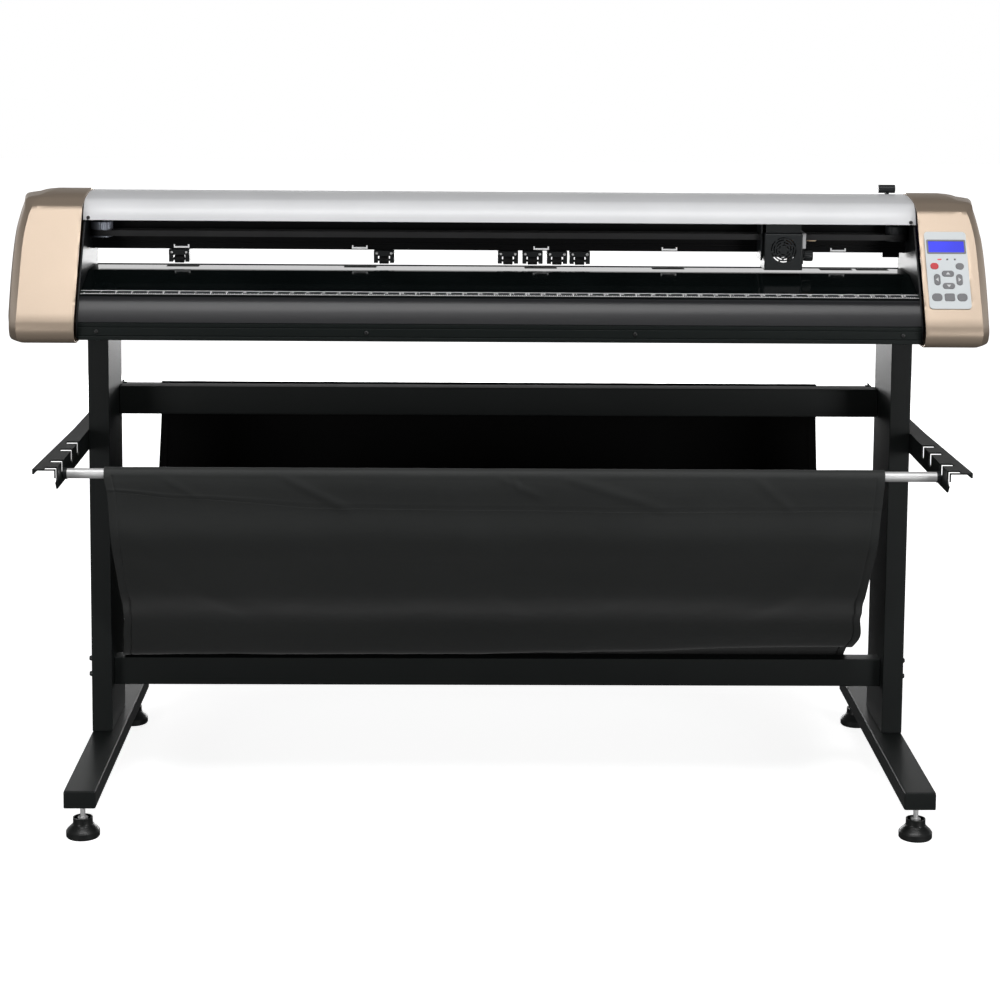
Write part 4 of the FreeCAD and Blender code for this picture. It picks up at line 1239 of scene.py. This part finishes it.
def pinch_details():
    """Springs and clamp screws for each pinch unit, and a grooved tread for its wheel."""
    for k in range(1, 7):
        unit = "pinch_unit_%d" % k
        wheel = "pinch_wheel_%d" % k
        low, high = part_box(unit)
        x = 500.0 * (low.x + high.x)
        shaft_y, shaft_z = 29.0, 914.0
        springs = [coil((x - 9.5, shaft_y, shaft_z), 10.9, 0.55, 6, 1.35),
                   coil((x + 1.5, shaft_y, shaft_z), 10.9, 0.55, 6, 1.35)]
        add_piece(unit + "_springs", *merged(springs), MATS["shaft_steel"], unit, "shaft_steel", True)
        screws = [socket_head(mm(x + dx, -10.05, 893.5), (0, -1, 0), 2.3 * MM, 1.5 * MM)
                  for dx in (-12.0, 12.0)]
        heads = add_piece(unit + "_screws", *merged(screws), MATS["rod_steel"], unit, "rod_steel")
        shade(heads, 40)
        wlow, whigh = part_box(wheel)
        centre = 0.5 * (wlow + whigh)
        profile = [(2.0, -16.5), (2.0, -8.0), (5.6, -8.0), (6.7, -7.4), (7.0, -6.6)]
        for g in range(-5, 6):
            mid = g * 1.1
            profile += [(7.0, mid - 0.35), (6.6, mid - 0.2), (6.6, mid + 0.2), (7.0, mid + 0.35)]
        profile += [(7.0, 6.6), (6.7, 7.4), (5.6, 8.0), (2.0, 8.0), (2.0, 16.5)]
        mesh = turned(profile, centre, (1, 0, 0), 40)
        tread = add_piece(wheel + "_tread", *mesh, MATS["roller_rubber"], wheel, "roller_rubber")
        shade(tread, 35)
        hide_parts(wheel)


def make_details():
    ruler()
    table_trim()
    roller_marks()
    key_arrows()
    panel_details()
    screw_heads()
    knurled("brass_knob_grip", "brass_knob", "brass_knob", "brass", 24, 0.35, True)
    knurled("clamp_knob_grip", "clamp_knob", "clamp_knob", "black_plastic", 16, 0.7, False)
    ribbed_pulley("idler_pulley_drum", "belt_idler_pulley", "idler_pulley", DRUM_METAL, "pulley_metal")
    ribbed_pulley("drive_pulley_drum", "belt_drive_pulley", "drive_pulley", MATS["black_plastic"],
                  "black_plastic")
    toothed_belt()
    pinch_details()


# ------------------------------------------------------------------ floor, light and camera

def floor_material():
    """Pale floor: white where the camera sees it, darker in reflections, with soft contact shadows."""
    mat = new_material("pale floor", (0.86, 0.86, 0.86), 0.9, 0.0, 0.0, 0.1)
    tree = mat.node_tree
    bsdf = bsdf_of(mat)
    tone = ramp(mat, noise(mat, 1.2, 2.0), 0.3, 0.7, (0.84,) * 3, (0.87,) * 3)
    link(mat, tone, bsdf.inputs["Base Color"])
    path = node(mat, "ShaderNodeLightPath")
    glow = node(mat, "ShaderNodeEmission")
    glow.inputs["Color"].default_value = (1.0, 1.0, 1.0, 1.0)
    spot = node(mat, "ShaderNodeNewGeometry")
    away = node(mat, "ShaderNodeVectorMath", operation="LENGTH")
    link(mat, spot.outputs["Position"], away.inputs[0])
    spread = node(mat, "ShaderNodeMapRange", interpolation_type="SMOOTHSTEP")
    link(mat, away.outputs["Value"], spread.inputs["Value"])
    for label, value in (("From Min", 0.5), ("From Max", 1.7), ("To Min", GLOW_NEAR), ("To Max", GLOW_FAR)):
        spread.inputs[label].default_value = value
    scale = node(mat, "ShaderNodeMath", operation="MULTIPLY")
    link(mat, path.outputs["Is Camera Ray"], scale.inputs[0])
    link(mat, spread.outputs["Result"], scale.inputs[1])
    link(mat, scale.outputs[0], glow.inputs["Strength"])
    dim = node(mat, "ShaderNodeBsdfDiffuse")
    dim.inputs["Color"].default_value = (0.16, 0.16, 0.16, 1.0)
    mix = node(mat, "ShaderNodeMixShader")
    link(mat, path.outputs["Is Camera Ray"], mix.inputs["Fac"])
    link(mat, dim.outputs["BSDF"], mix.inputs[1])
    link(mat, bsdf.outputs["BSDF"], mix.inputs[2])
    add = node(mat, "ShaderNodeAddShader")
    link(mat, mix.outputs["Shader"], add.inputs[0])
    link(mat, glow.outputs["Emission"], add.inputs[1])
    out = next(n for n in tree.nodes if n.type == "OUTPUT_MATERIAL")
    link(mat, add.outputs["Shader"], out.inputs["Surface"])
    return mat


GLOW_NEAR = 0.80
GLOW_FAR = 1.08
WORLD_LOW = 0.10
WORLD_BACK = 1.0


def world_light():
    """White to the camera; for light and reflections a pale band behind the machine and dim elsewhere."""
    world = bpy.data.worlds.new("studio")
    bpy.context.scene.world = world
    world.use_nodes = True
    tree = world.node_tree
    tree.nodes.clear()

    def make(kind, **values):
        made = tree.nodes.new(kind)
        for key, value in values.items():
            setattr(made, key, value)
        return made

    def span(value, low, high):
        made = make("ShaderNodeMapRange", interpolation_type="SMOOTHSTEP")
        made.inputs["From Min"].default_value = low
        made.inputs["From Max"].default_value = high
        tree.links.new(value, made.inputs["Value"])
        return made.outputs["Result"]

    def math_node(operation, a, b):
        made = make("ShaderNodeMath", operation=operation)
        for socket, value in zip(made.inputs, (a, b)):
            if isinstance(value, float):
                socket.default_value = value
            else:
                tree.links.new(value, socket)
        return made.outputs[0]

    place = make("ShaderNodeTexCoord")
    split = make("ShaderNodeSeparateXYZ")
    tree.links.new(place.outputs["Generated"], split.inputs[0])
    height = math_node("ABSOLUTE", split.outputs["Z"], 0.0)
    level = math_node("SUBTRACT", 1.0, span(height, 0.15, 0.24))
    behind = span(split.outputs["Y"], 0.2, 0.5)
    pale = math_node("MULTIPLY", level, behind)
    value = math_node("ADD", math_node("MULTIPLY", pale, WORLD_BACK - WORLD_LOW), WORLD_LOW)
    path = make("ShaderNodeLightPath")
    seen = math_node("MAXIMUM", value, path.outputs["Is Camera Ray"])
    back = make("ShaderNodeBackground")
    tree.links.new(seen, back.inputs["Strength"])
    back.inputs["Color"].default_value = (1.0, 1.0, 1.0, 1.0)
    out = make("ShaderNodeOutputWorld")
    tree.links.new(back.outputs[0], out.inputs["Surface"])


def soft_light(name, place, target, size_x, size_y, power):
    data = bpy.data.lights.new(name, "AREA")
    data.shape = "RECTANGLE"
    data.size = size_x
    data.size_y = size_y
    data.energy = power
    lamp = bpy.data.objects.new(name, data)
    bpy.context.scene.collection.objects.link(lamp)
    lamp.location = place
    lamp.rotation_euler = (Vector(target) - Vector(place)).to_track_quat("-Z", "Y").to_euler()


def studio():
    bpy.context.scene.view_settings.view_transform = "Standard"
    world_light()
    mesh = bpy.data.meshes.new("floor")
    r = 14.0
    mesh.from_pydata([(-r, -r, 0), (r, -r, 0), (r, r, 0), (-r, r, 0)], [], [(0, 1, 2, 3)])
    floor = bpy.data.objects.new("floor", mesh)
    bpy.context.scene.collection.objects.link(floor)
    mesh.materials.append(floor_material())
    soft_light("overhead", (0.0, -1.9, 3.5), (0.0, 0.0, 0.8), 3.4, 1.0, 71.0)
    soft_light("left fill", (-2.6, -3.2, 0.75), (0.0, 0.0, 0.6), 1.2, 1.2, 33.0)
    soft_light("right fill", (2.6, -3.2, 0.75), (0.0, 0.0, 0.6), 1.2, 1.2, 46.0)
    soft_light("rear fill", (0.0, 4.2, 0.45), (0.0, 0.0, 0.6), 3.0, 0.6, 44.0)


CAMERA_PLACE = (-0.0681, -3.9887, 1.3442)
CAMERA_SHIFT = -0.2356


def main_camera():
    """Product camera in front of the head and above it, with a lens shift for this view only."""
    yaw, pitch, roll = (math.radians(a) for a in (0.99, 6.71, 0.45))
    ahead = Vector((math.sin(yaw) * math.cos(pitch), math.cos(yaw) * math.cos(pitch), -math.sin(pitch)))
    side = Vector((math.cos(yaw), -math.sin(yaw), 0.0))
    up = side.cross(ahead)
    right = side * math.cos(roll) + up * math.sin(roll)
    above = -side * math.sin(roll) + up * math.cos(roll)
    data = bpy.data.cameras.new("camera")
    data.sensor_width = 36.0
    data.lens = 86.4
    data.shift_y = CAMERA_SHIFT
    data.clip_end = 50.0
    camera = bpy.data.objects.new("camera", data)
    turn = Matrix((right, above, -ahead)).transposed()
    camera.matrix_world = Matrix.Translation(CAMERA_PLACE) @ turn.to_4x4()
    bpy.context.scene.collection.objects.link(camera)
    bpy.context.scene.camera = camera
    driver = data.driver_add("shift_y").driver
    driver.type = "SCRIPTED"
    place = driver.variables.new()
    place.name = "x"
    place.type = "TRANSFORMS"
    place.targets[0].id = camera
    place.targets[0].transform_type = "LOC_X"
    place.targets[0].transform_space = "WORLD_SPACE"
    driver.expression = "%.4f * (abs(x - %.4f) < 0.001)" % (CAMERA_SHIFT, CAMERA_PLACE[0])


dress_cad_nodes()
crisp_cad_nodes()
two_tone_parts()
make_covers()
cloth_basket()
make_details()
studio()
main_camera()
